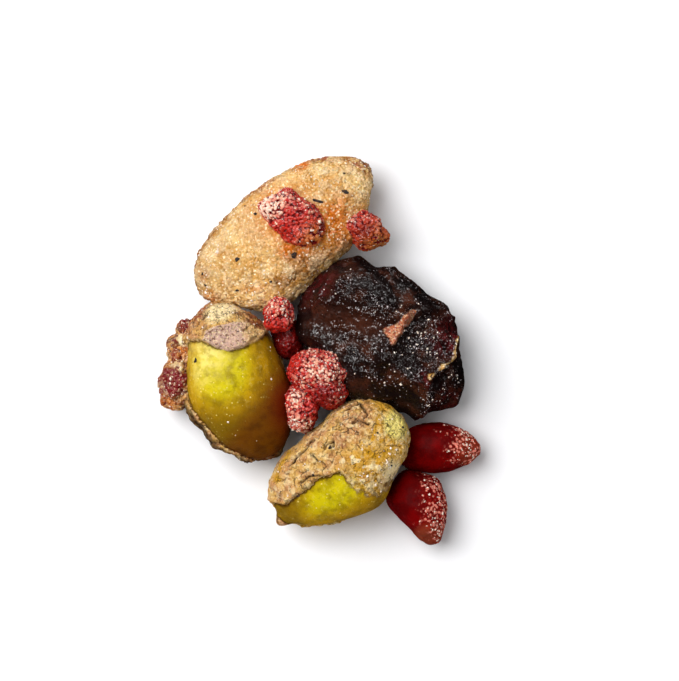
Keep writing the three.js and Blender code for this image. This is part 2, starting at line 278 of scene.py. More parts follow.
# The driving sizes of the solids, in mm and degrees: centre, turn of the long axis from +X, half sizes, power
# that fills out the sides, plan outline factors and, where they aren't 0, pitch that lifts the far end and
# roll that lifts the left edge. full is how far the shoulder stands out past the solid's, mm.
PIECES = {
    "pistachio_right": dict(
        centre=(2.6, -13.6, 5.5), turn=40.6, pitch=11, roll=0, half=(9.0, 5.5, 5.1), side=0.94, full=0.45,
        outline=(0.98, 1.04, 1.08, 1.0, 1.05, 1.04, 0.97, 0.92, 0.94, 1.02, 0.95, 0.95),
    ),
    "pistachio_left": dict(
        centre=(-9.3, -4.2, 5.5), turn=-71.2, pitch=-10, roll=0, half=(9.3, 5.6, 5.2), side=0.94, full=0.3,
        outline=(0.97, 1.01, 0.99, 0.96, 1.02, 1.03, 1.03, 1.0, 0.97, 1.04, 1.01, 0.97),
    ),
    "almond": dict(
        centre=(-3.7, 13.3, 4.3), turn=38.5, pitch=1, roll=-6, half=(12.0, 6.3, 4.5), side=0.92, full=0.35,
        outline=(1.0, 1.01, 0.99, 1.0, 1.03, 1.05, 1.0, 0.94, 1.07, 1.02, 1.0, 0.94),
    ),
    "dried_cherry": dict(
        centre=(7.5, 0.7, 4.9), turn=-34.4, half=(10.4, 7.8, 5.2), side=0.8,
        outline=(0.99, 0.94, 1.02, 0.98, 1.04, 1.11, 1.03, 0.92, 0.97, 0.94, 0.86, 0.97),
    ),
    "fruit_drop_upper": dict(
        centre=(14.0, -11.3, 2.8), turn=-3, half=(4.45, 3.05, 3.0), side=0.95,
        outline=(1.0, 0.91, 0.88, 0.93, 1.0, 1.0, 1.0, 1.01, 1.02, 0.97, 0.9, 0.92),
    ),
    "fruit_drop_lower": dict(
        centre=(11.8, -18.3, 2.9), turn=-65.9, half=(4.4, 3.3, 3.1), side=0.95,
        outline=(0.99, 0.82, 0.8, 0.92, 1.07, 0.99, 1.0, 1.03, 1.06, 0.85, 0.76, 0.87),
    ),
    "fruit_crumb_middle": dict(
        centre=(0.2, -2.9, 7.0), turn=-41.2, half=(3.95, 3.1, 3.7), side=0.9,
        outline=(0.94, 0.84, 0.92, 0.96, 0.86, 0.82, 0.92, 1.0, 1.03, 0.94, 0.96, 1.08),
    ),
    "fruit_crumb_front": dict(
        centre=(-2.0, -6.8, 6.8), turn=-83.2, half=(2.75, 2.0, 3.2), side=0.9,
        outline=(0.95, 0.88, 0.87, 0.98, 0.94, 0.97, 1.0, 1.03, 1.02, 1.0, 0.9, 0.97),
    ),
    "fruit_crumb_top": dict(
        centre=(-4.7, 4.0, 7.5), turn=79, half=(2.0, 1.85, 2.1), side=0.9,
        outline=(0.99, 0.83, 0.83, 0.97, 0.94, 0.95, 0.97, 0.97, 1.02, 0.97, 0.89, 0.96),
    ),
    "fruit_crumb_shaded": dict(
        centre=(-3.9, 1.2, 2.9), turn=-81, half=(2.4, 1.5, 3.2), side=0.85,
        outline=(0.94, 0.9, 0.92, 0.99, 1.05, 1.08, 0.99, 1.08, 1.02, 0.96, 0.95, 0.93),
    ),
    "fruit_crumb_on_almond": dict(
        centre=(-3.4, 15.4, 8.9), turn=-34.7, half=(3.4, 2.4, 1.8), side=0.85,
        outline=(0.99, 1.01, 1.08, 0.92, 1.1, 0.8, 0.86, 1.08, 0.92, 0.92, 1.1, 1.06),
    ),
    "fruit_crumb_at_edge": dict(
        centre=(5.5, 13.5, 6.2), turn=-37, half=(2.4, 2.2, 2.4), side=0.9,
        outline=(0.96, 1.05, 0.92, 0.97, 1.02, 1.04, 0.94, 0.91, 0.92, 0.98, 0.84, 0.88),
    ),
    "seasoning_clump": dict(
        centre=(-15.7, -1.5, 3.6), turn=82.5, half=(5.2, 2.7, 3.7), side=0.85,
        outline=(0.9, 0.8, 0.84, 0.6, 0.98, 0.98, 0.98, 1.05, 1.02, 0.8, 0.8, 1.02),
    ),
}


# Places where a piece's flank stands out further (+) or is drawn in (-) than the solid's: centre in plan,
# half sizes and rise, mm.
SWELLS = {
    "dried_cherry": [
        ((-1.6, 2.4), (1.4, 2.0), 0.9), ((7.0, -6.6), (2.4, 1.2), 0.4), ((16.8, 1.2), (2.0, 3.6), -1.0),
        ((13.0, 6.4), (3.2, 1.8), -0.7),
    ],
    "fruit_drop_upper": [((9.4, -11.4), (1.2, 2.2), 0.9), ((10.6, -13.4), (1.2, 1.2), 0.5)],
    "fruit_drop_lower": [((10.2, -14.9), (1.2, 1.2), 0.5), ((8.4, -17.4), (1.2, 1.6), 0.4)],
    "fruit_crumb_at_edge": [((3.4, 14.2), (1.2, 1.4), 0.6)],
    "fruit_crumb_shaded": [((-2.6, 1.0), (1.2, 2.4), 0.4)],
    "fruit_crumb_on_almond": [
        ((-0.9, 12.9), (1.6, 1.3), 0.9), ((0.4, 14.6), (0.9, 1.4), 0.6), ((-3.4, 15.4), (9.0, 9.0), 0.3),
    ],
    "seasoning_clump": [((-17.2, -6.2), (1.3, 1.3), 0.8)],
    "pistachio_left": [
        ((-13.4, -9.2), (2.0, 2.2), -0.6), ((-10.4, -12.4), (2.4, 1.6), -0.5),
        ((-3.8, -4.0), (1.0, 2.4), 0.35),
    ],
    "pistachio_right": [
        ((7.0, -17.6), (3.0, 2.2), 0.5), ((-2.2, -11.2), (1.6, 1.6), -0.4), ((0.2, -8.6), (2.0, 1.6), -0.7),
    ],
}


# Quads along each edge of the cube that a piece's surface is bent from.
LARGE_CUTS = 125
KERNEL_CUTS = 120
DROP_CUTS = 105
CLUMP_CUTS = 90


def cube_ball(cuts):
    """Unit ball from six square grids of two angles, each bent outwards from a cube's face, with the shared
    edges merged. Gives points and outward quads."""
    step = np.tan(np.linspace(-0.25, 0.25, cuts + 1) * np.pi)
    a, b = np.meshgrid(step, step, indexing="ij")
    one = np.ones_like(a)
    faces = [(one, a, b), (-one, b, a), (b, one, a), (a, -one, b), (a, b, one), (b, a, -one)]
    points = np.concatenate([np.stack(face, axis=-1).reshape(-1, 3) for face in faces])
    points /= np.linalg.norm(points, axis=1, keepdims=True)
    index = np.arange((cuts + 1) ** 2).reshape(cuts + 1, cuts + 1)
    quad = np.stack([index[:-1, :-1], index[1:, :-1], index[1:, 1:], index[:-1, 1:]], axis=-1).reshape(-1, 4)
    quads = np.concatenate([quad + n * index.size for n in range(6)])
    _, first, back = np.unique(np.round(points, 6), axis=0, return_index=True, return_inverse=True)
    return points[first], back.reshape(-1)[quads]


def stance(turn, pitch, roll):
    """Rotation that rolls about the long axis, lifts its far end and turns it in plan, in that order."""
    r, p, t = (math.radians(v) for v in (roll, -pitch, turn))
    about_x = np.array([[1, 0, 0], [0, math.cos(r), -math.sin(r)], [0, math.sin(r), math.cos(r)]])
    about_y = np.array([[math.cos(p), 0, math.sin(p)], [0, 1, 0], [-math.sin(p), 0, math.cos(p)]])
    about_z = np.array([[math.cos(t), -math.sin(t), 0], [math.sin(t), math.cos(t), 0], [0, 0, 1]])
    return about_z @ about_y @ about_x


def within_solids(points):
    """Points in millimetres, kept inside the box round all the solids."""
    return np.clip(points, np.array(CAD_LOW) / MM, np.array(CAD_HIGH) / MM)


def pebble(name, cuts, relief):
    """An ellipsoid whose plan radius is scaled by the outline curve and whose surface is moved along its
    normal by relief(points, normals, unit points), and pressed flat on the floor. Gives points, quads and
    the marks that relief puts out."""
    piece = PIECES[name]
    unit, quads = cube_ball(cuts)
    half = np.array(piece["half"])
    angle = np.arctan2(unit[:, 1], unit[:, 0])
    out = np.hypot(unit[:, 0], unit[:, 1]) ** piece["side"] * around(piece["outline"], angle)
    points = np.stack([out * np.cos(angle), out * np.sin(angle), unit[:, 2]], axis=1) * half
    normals = points / half**2
    normals /= np.linalg.norm(normals, axis=1, keepdims=True)
    turned = stance(piece["turn"], piece.get("pitch", 0), piece.get("roll", 0))
    points = points @ turned.T + np.array(piece["centre"])
    normals = normals @ turned.T
    height, marks = relief(points, normals, unit)
    shoulder = 4 * normals[:, 2] ** 2 * (1 - normals[:, 2] ** 2) * (normals[:, 2] > 0)
    height += piece.get("full", 0.0) * shoulder
    for at, reach, rise in SWELLS.get(name, ()):
        height += rise * glow(points, at, reach) * np.hypot(normals[:, 0], normals[:, 1])
    points = points + normals * height[:, None]
    return within_solids(points), quads, marks


def mesh_piece(name, points, faces, marks, material, node=None, slot=None):
    """Puts a surface given in millimetres into a mesh piece that rides on the heap's one body."""
    mesh = bpy.data.meshes.new(name)
    mesh.from_pydata(points * MM, [], faces)
    for mark, values in marks.items():
        mesh.attributes.new(mark, "FLOAT", "POINT").data.foreach_set("value", values.astype(np.float32))
    mesh.shade_smooth()
    mesh.materials.append(material)
    piece = bpy.data.objects.new(name, mesh)
    bpy.context.scene.collection.objects.link(piece)
    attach(piece, "root")
    if node:
        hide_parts(node)
    return piece


# ---- reliefs

# Edge of the bare part of each kernel, where the crust has come off, mm in plan.
LEFT_WINDOW = [
    (-14.7, 1.1), (-13.7, 1.0), (-12.8, 0.75), (-11.7, 0.3), (-10.5, -0.05), (-8.7, 0.3), (-7.3, 1.0),
    (-6.4, 1.6), (-5.1, 1.9), (-3.1, 0.5), (-2.6, -3.5), (-2.4, -8.1), (-2.6, -12.1), (-4.5, -14.4),
    (-6.6, -13.4), (-8.2, -12.4), (-9.6, -11.6), (-11.2, -10.5), (-12.9, -9.0), (-14.1, -7.3),
    (-14.9, -5.8), (-15.5, -4.1), (-15.8, -1.2),
]
RIGHT_WINDOW = [
    (-2.3, -16.7), (-1.5, -16.0), (-0.35, -15.1), (1.0, -14.4), (2.4, -13.9), (3.3, -14.8), (4.5, -15.8),
    (6.1, -15.8), (7.6, -15.1), (8.5, -14.3), (9.8, -13.9), (10.7, -15.2), (9.3, -18.5), (5.9, -21.3),
    (0.1, -21.9), (-3.6, -21.5), (-6.4, -20.0), (-6.2, -17.2), (-4.8, -17.6), (-3.3, -17.4),
]
# A lens-shaped flake of kernel skin that lies over the left window's top edge, mm in plan.
FLAKE = [
    (-13.0, 0.9), (-12.5, 1.8), (-11.4, 2.4), (-10.0, 2.75), (-8.5, 2.6), (-7.2, 2.1), (-6.5, 1.4),
    (-7.2, 0.8), (-8.7, 0.15), (-10.4, -0.2), (-11.9, 0.3),
]
# Dark cracks and lifted edges of the right crust, mm in plan.
SCARS = [
    [(3.0, -7.8), (3.9, -7.0), (4.7, -6.8), (5.5, -7.6), (5.2, -8.5)],
    [(3.9, -8.6), (4.8, -8.3), (5.6, -8.9)],
    [(-0.6, -12.0), (0.2, -12.9), (0.9, -13.2)],
    [(0.9, -11.5), (1.2, -10.8), (1.8, -10.6), (1.7, -11.3)],
    [(-2.6, -13.4), (-1.5, -12.0), (-0.2, -10.6)],
    [(-1.7, -15.2), (-0.7, -14.4), (0.3, -14.2)],
]
# x from which the right kernel's crust is thin, and for the left kernel a place beyond the heap, mm.
THIN_FROM = 2.6
THIN_NOWHERE = 90.0
# Nubs of crust: rise, reach and centre, mm.
LEFT_NUBS = [(0.6, 1.9, (-14.4, -7.8, 4.6))]
RIGHT_NUBS = [(1.6, 0.85, (-4.1, -19.7, 4.4))]


def depth_inside(points, corners):
    """How far each point lies inside a closed outline in plan, in mm, and negative outside it."""
    closed = [*corners, corners[0]]
    away = away_from(closed, points)
    inside = np.zeros(len(points), dtype=bool)
    x, y = points[:, :2].T
    for (ax, ay), (bx, by) in zip(closed, corners[1:] + corners[:1]):
        if ay != by:
            inside ^= ((ay > y) != (by > y)) & (x < ax + (y - ay) * (bx - ax) / (by - ay))
    return np.where(inside, away, -away)


def crusted(window, nubs, thin_from, seed, extra):
    """Pistachio relief: smooth kernel under a lumpy, granular crust that ends in a torn, raised lip, and
    right of thin_from in a thin, ragged glaze."""

    def relief(points, normals, unit):
        x = points[:, 0]
        up = normals[:, 2]
        torn = 0.22 * noise(points, 1.1, seed) + 0.14 * noise(points, 0.45, seed + 9)
        edge = torn - depth_inside(points, window)
        edge = np.maximum(edge, 4 * (-0.35 - up) + torn)
        cover = smoothstep(-0.05, 0.22, edge)
        dome, own = granules(points, 0.52, seed + 4)
        lumps = 0.2 * noise(points, 1.7, seed + 1) + 0.12 * noise(points, 0.9, seed + 2)
        plates = 0.12 * smoothstep(-0.06, 0.06, noise(points, 1.3, seed + 7))
        grains = 0.1 * (dome - 0.75) + 0.07 * noise(points, 0.3, seed + 5)
        lip = 0.16 * bell((edge - 0.3) / 0.3)
        thin = 1 - 0.85 * smoothstep(thin_from, thin_from + 1.6, x) * bell(edge / 1.4)
        height = thin * (cover * (sizes().crust / MM - 0.06 + lumps + plates + grains) + lip)
        height += 0.22 * noise(points, 4.5, seed + 3) + 0.03 * noise(points, 0.9, seed + 6)
        edge = edge * (0.15 + 0.85 * thin) + (1 - thin) * 0.4 * noise(points, 0.6, seed + 8)
        for rise, reach, at in nubs:
            far = np.linalg.norm(points - np.array(at), axis=1) / reach
            height += rise * bell(far)
            edge = np.maximum(edge, 1.1 - far)
        marks = dict(edge=edge, dome=dome, own=own)
        height = extra(points, normals, height, marks)
        return height, marks

    return relief


def left_extras(points, normals, height, marks):
    """Left kernel: the skin flake, the pale tip with a painted highlight on its left side, painted shade on
    the bare part and the crust's rim, and a painted red bounce at its right edge.
    """
    x, y = points[:, :2].T
    up = normals[:, 2]
    top = smoothstep(0.05, 0.35, up)
    inside = depth_inside(points, FLAKE) + 0.08 * noise(points, 0.9, 37) + 0.05 * noise(points, 0.35, 38)
    flake = smoothstep(-0.02, 0.12, inside) * top
    curl = 0.18 * bell((inside - 0.15) / 0.25) * top
    height = height + flake * (sizes().skin / MM + 0.05 * noise(points, 0.5, 39)) + curl
    marks["flake"] = flake
    marks["flake_tan"] = smoothstep(-9.6, -8.0, x + 0.5 * noise(points, 0.8, 40))
    # Pale streaks on the kernel's left side, partly its own pale streaks and partly a painted highlight where
    # that side faces the light.
    pale_and_highlight = glows(points, (0.9, -12.4, -0.6, 1.9, 2.1, 10), (0.4, -13.4, -3.0, 0.9, 1.4))
    marks["pale"] = np.clip(pale_and_highlight, 0, 1) * (marks["edge"] < 0)
    marks["shade"] = smoothstep(-4.2, -9.4, y + 0.5 * noise(points, 1.6, 41))
    # dark: the crust's rim towards the -y end is painted dark, partly its own dark brown and partly painted
    # shade.
    marks["dark"] = smoothstep(-3.5, -6.5, y) * smoothstep(0.02, 0.18, marks["edge"])
    marks["golden"] = np.zeros(len(points))
    # Painted red bounce light: the crumbs beside the kernel's right edge tint it dark red.
    marks["blush"] = glow(points, (-4.2, -6.2), (1.5, 3.6), 8)
    marks["cream"] = glow(points, (-11.2, 3.9), (1.9, 1.1), 20) * top
    # amber: painted shade towards the lower right, away from the light, partly the kernel's own browner rim.
    marks["amber"] = smoothstep(-9.2, -3.6, x - 0.75 * (y + 5.0))
    marks["green"] = glow(points, (-10.9, -2.2), (3.4, 4.4), -10)
    marks["rusty"] = np.clip(glows(
        points, (1.3, -7.2, 3.2, 1.5, 1.5), (1.6, -14.0, 4.0, 1.5, 2.8, -40),
        (1, -6.0, -12.6, 2.6, 1.2, -30),
    ), 0, 1)
    marks["glaze"] = np.zeros(len(points))
    marks["sugar_here"] = 0.0005 + 0.01 * (marks["edge"] > 0) * top
    return height + 0.35 * marks["rusty"] * (marks["dome"] - 0.6) * (marks["edge"] > 0)


def right_extras(points, normals, height, marks):
    """Right kernel: glaze and sugar at the crust's thin right part, golden edges, pale green patch, painted
    shade towards the lower end, a painted shadow on the upper-left flank and painted light on the right
    flank.
    """
    x, y = points[:, :2].T
    up = normals[:, 2]
    top = smoothstep(0.05, 0.35, up)
    zeros = np.zeros(len(points))
    marks["flake"] = zeros
    marks["flake_tan"] = zeros
    marks["pale"] = 0.85 * glow(points, (8.4, -8.9), (1.5, 1.9), 14) * top
    marks["blush"] = zeros
    scar = np.zeros(len(points))
    bent = points + 0.2 * np.stack([noise(points, 0.6, n) for n in (28, 29, 30)], axis=1)
    for line in SCARS:
        scar = np.maximum(scar, smoothstep(0.16, 0.03, away_from(line, bent)))
        height += 0.16 * bell((away_from(line, bent) - 0.3) / 0.2) * top
    height -= 0.2 * scar * top
    # Painted shadow: the steep flank facing the crumbs at the upper left lies in their shadow and is painted
    # dark.
    flank = smoothstep(0.5, 0.2, up) * glow(points, (-1.2, -9.9), (3.4, 2.4), 45)
    marks["dark"] = np.maximum(scar * top, flank)
    marks["shade"] = 0.8 * smoothstep(-15.5, -18.0, y) * smoothstep(-0.4, -3.2, x)
    beyond = 0.895 * (x - 2.4) - 0.446 * (y + 13.9) + 0.7 * noise(points, 1.3, 26)
    marks["golden"] = np.maximum(smoothstep(0.0, 2.0, beyond), smoothstep(0.1, -0.4, up))
    # amber: a lighter painted shade towards the lower right, away from the light.
    marks["amber"] = 0.3 * smoothstep(3.0, 9.5, x - 0.7 * (y + 15.0))
    marks["green"] = glow(points, (1.8, -16.2), (4.2, 2.2), 28)
    stripe = away_from([(6.7, -8.1), (6.1, -10.2)], points) + 0.15 * noise(points, 0.5, 23)
    stripe = smoothstep(0.4, 0.1, stripe)
    ochre = away_from([(-4.1, -14.9), (-3.0, -12.1)], points) + 0.2 * noise(points, 0.6, 24)
    ochre = smoothstep(0.6, 0.1, ochre)
    glaze = glows(points, (1, 4.7, -12.6, 2.6, 1.5, 20), (1, 7.4, -6.9, 2.4, 0.9, -30))
    glaze += 0.7 * glow(points, (7.8, -11.6), (1.5, 1.6))
    marks["glaze"] = np.clip(np.maximum(np.maximum(stripe, ochre), glaze) * top, 0, 1)
    marks["rusty"] = np.clip(glows(
        points, (0.6, 8.0, -14.8, 1.5, 0.9, 20), (1, 2.8, -11.0, 0.5, 0.4), (0.6, -3.9, -18.4, 0.9, 1.6),
    ), 0, 1)
    sugar = glows(points, (1, 3.6, -12.9, 1.0, 0.8), (1.3, 5.6, -14.3, 1.3, 0.9, 30))
    sugar += glows(points, (0.8, 4.4, -13.4, 1.9, 1.5, 20), (0.8, 7.6, -12.6, 0.9, 1.6))
    sugar_patch = np.clip(0.9 * sugar, 0, 1) * smoothstep(0.05, 0.35, noise(points, 0.55, 27)) * top
    # cream: sugar patches, plus painted light from the 0.7 glow, which brightens the right flank where it
    # turns away from the light.
    marks["cream"] = np.maximum(sugar_patch, 0.7 * glow(points, (8.0, -13.8), (1.6, 2.0)))
    marks["sugar_here"] = 0.008 * (marks["edge"] > 0) * top + 0.06 * sugar * top
    return height - 0.12 * marks["glaze"] * (marks["edge"] > 0)


# Rough ledge along the almond's lower side: line in plan, reach and rise, mm.
ALMOND_LEDGE = [(-4.4, 7.9), (-1.5, 9.4), (4.6, 13.4)]
LEDGE_REACH = 1.6
LEDGE_RISE = 0.35


def glazed(points, normals, unit):
    """Almond relief: low swells, granules of glaze of two sizes, and a rough ledge along the side."""
    x, _, z = points.T
    up = normals[:, 2]
    near = 1 - smoothstep(0, LEDGE_REACH, away_from(ALMOND_LEDGE, points))
    dome, own = granules(points, sizes().glaze_grain / MM, 44)
    small, small_own = granules(points, 0.3, 47)
    swells = 0.25 * noise(points, 5, 41) + 0.15 * noise(points, 2, 42) + 0.08 * noise(points, 1, 43)
    ledge = LEDGE_RISE * near * (0.6 + 0.4 * noise(points, 1.1, 44))
    rim = smoothstep(0.7, 0.25, up)
    rough = 0.3 + 0.35 * smoothstep(-0.3, 0.4, noise(points, 2.4, 45)) + 0.9 * np.maximum(near, rim)
    fine = rough * (0.1 * (dome - 0.8) + 0.1 * (small - 0.75) + 0.04 * noise(points, 0.42, 46))
    fine += 0.5 * rim * (dome - 0.85)
    clear, clear_own = granules(points, 1.0, 49)
    clear *= smoothstep(0.6, 0.66, clear_own)
    fine += 0.1 * clear
    orange = glows(
        points, (1.6, -1.9, 21.0, 0.9, 0.6, 30), (1, 1.2, 14.9, 1.1, 2.4, -20),
        (1.2, -2.6, 11.7, 2.0, 0.9, 20), (0.6, 3.0, 15.9, 1.0, 1.6), (1.3, -3.2, 15.0, 3.6, 2.9, -35),
        (0.7, 2.7, 13.3, 1.5, 1.3), (0.6, -12.3, 6.0, 1.2, 0.6, -20), (0.5, -7.6, 7.0, 1.6, 0.5, 10),
    )
    ruddy = glows(
        points, (1.2, 0.4, 21.9, 1.3, 0.5), (1.1, -6.1, 18.9, 1.2, 0.6, 40),
        (1.3, 4.6, 21.2, 1.9, 1.0, -35), (0.5, -12.9, 8.6, 0.6, 1.0),
    )
    upper = smoothstep(1.8, 3.8, z)
    # A brown patch beside the crumb on the almond: partly glaze stained by juice and partly the crumb's
    # painted shadow.
    stain_and_shadow = glow(points, (-2.5, 10.8), (1.9, 0.9), 20)
    # band browns the steep glaze round the almond's edge as seen from above, partly the glaze's own browner
    # sides and partly painted shade.
    band = 1.3 * bell((up - 0.15) / 0.22)
    side = np.clip(np.maximum(near, np.maximum(0.8 * rim, band)) + 1.2 * stain_and_shadow, 0, 1.3)
    marks = dict(dome=dome, own=own, small=small, small_own=small_own, side=side)
    marks["clear"] = np.maximum(clear, glow(points, (-7.7, 13.6), (1.8, 1.6)))
    marks["far"] = smoothstep(-8.0, -13.5, x)
    marks["orange"] = upper * np.clip(orange, 0, 1)
    marks["ruddy"] = upper * np.clip(ruddy, 0, 1)
    marks["sugar_here"] = 0.05 * smoothstep(0.1, 0.5, up) * smoothstep(-0.2, 0.6, noise(points, 1.6, 48))
    return swells + ledge + fine, marks


# Folds of the skin: rise or (-) fall, reach to each side and line in plan, mm.
FOLDS = [
    (0.75, 1.0, [(2.4, 6.8), (5.3, 5.0), (7.6, 4.2), (9.9, 3.9)]),
    (0.8, 0.8, [(9.9, 3.9), (9.1, 1.9), (7.7, 0.2), (7.5, -1.0)]),
    (-0.7, 0.5, [(10.6, 3.1), (12.2, 3.8), (14.8, 4.3)]),
    (0.5, 0.6, [(11.2, 2.5), (13.2, 3.1), (15.7, 3.6)]),
    (0.6, 0.5, [(12.2, -3.3), (13.9, -1.9), (15.3, -0.8), (15.7, 1.2)]),
    (-0.4, 0.6, [(13.0, -3.9), (14.6, -2.7), (16.0, -1.8)]),
    (0.7, 0.7, [(12.2, -3.5), (12.6, -5.2), (11.6, -7.0)]),
    (0.4, 0.8, [(7.5, -1.0), (9.8, -2.8), (12.2, -3.6)]),
    (0.45, 0.6, [(3.7, 8.6), (2.3, 6.6), (1.2, 5.4)]),
]
# Hollows of the flesh: depth, reach and centre in plan, mm.
HOLLOWS = [
    (0.9, 3.4, (4.6, 1.6)),
    (1.4, 2.3, (10.7, 0.8)),
    (0.45, 3.0, (8.6, 6.6)),
    (0.6, 2.6, (9.0, -5.2)),
    (0.6, 1.8, (14.6, -5.0)),
]
# Narrow crests and (-) creases on top of the folds, given in the same way.
CREASES = [
    (0.22, 0.22, [(0.2, 5.6), (3.0, 4.9), (5.6, 4.0), (8.3, 3.4)]),
    (0.16, 0.2, [(2.6, 7.9), (5.0, 6.4), (7.6, 5.1), (9.6, 4.6)]),
    (0.25, 0.25, [(10.0, 3.6), (9.4, 2.2), (8.6, 1.0), (7.6, 0.2)]),
    (0.2, 0.2, [(11.6, 2.7), (13.6, 3.4), (15.4, 3.9)]),
    (0.22, 0.2, [(12.4, -3.1), (13.9, -1.9), (15.2, -0.8), (15.8, 1.2)]),
    (0.25, 0.3, [(12.2, -4.1), (12.6, -5.4), (11.9, -6.8)]),
    (-0.18, 0.3, [(9.2, 1.4), (10.8, -0.6), (12.2, -2.6)]),
    (0.12, 0.3, [(1.5, 3.0), (4.4, 1.4), (6.8, -0.8)]),
    (0.15, 0.3, [(5.2, -2.4), (8.0, -4.2), (10.4, -5.0)]),
    (0.15, 0.25, [(14.0, -2.6), (14.4, -4.6), (13.8, -6.6)]),
]
# Pale torn rim of the skin at the right, mm in plan.
PALE_RIM = [(12.4, -2.9), (13.9, -1.9), (15.3, -0.8), (15.8, 1.4)]
# Torn, rust-coloured flake of the skin, mm in plan.
TORN = [
    (9.2, 3.2), (9.9, 3.9), (11.1, 4.4), (10.9, 3.8), (10.2, 2.9), (9.6, 2.4), (9.1, 1.3), (8.3, 0.2),
    (8.1, 1.4), (7.5, 2.2), (8.1, 2.8),
]


def wrinkled(points, normals, unit):
    """Cherry relief: folds as raised or sunken lines on top, hollows where the flesh has drawn in, and
    wrinkles all round, with narrow crests and fine creases over all."""
    x, y = points[:, :2].T
    up = normals[:, 2]
    top = smoothstep(0, 0.5, up)
    height = np.zeros(len(points))
    for rise, reach, line in FOLDS:
        height += rise * top * bell(away_from(line, points) / reach)
    for depth, reach, at in HOLLOWS:
        height -= depth * top * bell(np.hypot(x - at[0], y - at[1]) / reach)
    bent = points + 0.25 * np.stack([noise(points, 1.2, n) for n in (61, 62, 63)], axis=1)
    crest = np.zeros(len(points))
    for rise, reach, line in CREASES:
        share = bell(away_from(line, bent) / reach) * top
        height += rise * share
        crest = np.maximum(crest, share * (rise > 0))
    wrinkle = 1 - np.abs(noise(points, 3.2, 51)) * 2
    height += (1 - 0.65 * top) * 0.55 * wrinkle + 0.12 * noise(points, 1.3, 52)
    for size, rise, seed in ((2.4, 0.2, 53), (1.0, 0.08, 55), (0.5, 0.035, 57)):
        height += rise * (1 - 2.2 * np.abs(noise(bent, size, seed)))
    torn = 0.45 * noise(points, 0.8, 58) + 0.3 * noise(points, 0.4, 59)
    rust = smoothstep(-0.1, 0.1, depth_inside(points, TORN) + 0.6 * torn)
    rim = smoothstep(0.2, 0.04, away_from(PALE_RIM, points) + 0.5 * torn)
    brown = glows(points, (1, 4.8, 2.9, 3.0, 1.5, -15), (0.5, 1.0, 3.4, 1.6, 2.0))
    # Painted light: ruby red where light would shine through the thin flesh at the edges and folds.
    ruby = glows(
        points, (1.3, 14.8, 1.4, 1.5, 1.9), (0.8, 12.0, -3.3, 0.8, 0.8), (0.7, 0.0, 7.4, 2.6, 1.8, 40),
        (0.6, 15.0, -5.8, 1.4, 1.0),
    )
    # Places of fine sugar powder and of painted glints: the streak at (12.2, -5.6) and the spot at (2.8, 7.6)
    # stand for glints, and the crests and the upper rim below get painted glints too.
    dust = glows(
        points, (0.6, 6.4, 5.2, 4.0, 0.8, -20), (1.6, 12.0, 0.9, 2.9, 2.2, -30),
        (0.25, 3.6, 0.2, 2.2, 1.2, -20), (0.3, 5.8, -2.8, 1.6, 1.2), (0.6, 9.4, -2.6, 2.0, 1.4, -30),
        (0.6, 15.2, -3.8, 1.0, 2.2), (2.0, 12.2, -5.6, 0.45, 1.6, -15), (1.6, 2.8, 7.6, 1.0, 0.4, 50),
    )
    # Painted highlight: white specks along the upper rim that faces +y, where a rim glint shows.
    brink = bell((up - 0.22) / 0.1) * smoothstep(0.2, 0.6, normals[:, 1])
    marks = dict(crest=crest, rust=rust * top, rim=rim * top, brown=np.clip(brown, 0, 1))
    marks["ruby"] = np.clip(ruby, 0, 1)
    marks["dust"] = np.clip(0.08 + dust + 0.8 * crest + brink, 0, 2) * smoothstep(0, 0.3, up)
    marks["sugar_here"] = 0.05 * np.clip(dust, 0, 1) * top
    return height, marks


# Sugar frost of each drop: its pointed tip, the ellipse that the frost fills, in mm in plan, and seed.
FROSTS = {
    "fruit_drop_upper": ((18.3, -11.6), dict(at=(18.4, -10.6), half=(4.0, 3.9)), 61),
    "fruit_drop_lower": ((13.1, -22.4), dict(at=(14.7, -18.8), half=(3.0, 5.4), turn=10), 71),
}


def frosted(tip, side, seed):
    """Drop relief: smooth skin with a frost of sugar bumps inside the ellipse side, which swells towards the
    pointed tip."""

    def relief(points, normals, unit):
        near = 1 - smoothstep(1.5, 6, np.hypot(points[:, 0] - tip[0], points[:, 1] - tip[1]))
        height = near * 0.16 * (1 + noise(points, 0.9, seed)) + 0.1 * noise(points, 1.8, seed + 1)
        edge = 1 - spot(points, **side) + 0.3 * noise(points, 0.8, seed + 2)
        edge += 0.25 * noise(points, 0.3, seed + 3)
        frost = smoothstep(-0.2, 0.4, edge) * smoothstep(-0.2, 0.3, normals[:, 2])
        dome, own = granules(points, 0.27, seed + 4)
        height += frost * 0.17 * (dome - 0.4) + 0.03 * noise(points, 0.5, seed + 5)
        height += frost * 0.12 * noise(points, 0.7, seed + 6)
        marks = dict(frost=frost, dome=dome, own=own, near=near, sugar_here=0.03 * frost)
        return height, marks

    return relief


GOLDEN_ANGLE = 2.39996  # radians, which spreads the lumps of a crumb evenly round it
# Number of lumps, their rise in mm, seed, how sugared it is and cuts of the surface, for each crumb.
CRUMBS = {
    "fruit_crumb_middle": (34, 0.7, 81, 0.0, 105),
    "fruit_crumb_front": (26, 0.6, 91, 0.12, 80),
    "fruit_crumb_top": (20, 0.5, 101, 0.02, 65),
    "fruit_crumb_shaded": (20, 0.4, 111, -0.7, 50),
    "fruit_crumb_on_almond": (30, 0.35, 121, 0.0, 85),
    "fruit_crumb_at_edge": (22, 0.45, 131, -0.1, 70),
}
# Dark red places of the crumbs, out of the light: centre in plan and reach, mm.
DARKENED = {
    "fruit_crumb_shaded": ((-3.9, 0.6), 4.0), "fruit_crumb_middle": ((0.7, -5.3), 1.5),
    "fruit_crumb_at_edge": ((5.3, 13.4), 1.2),
}
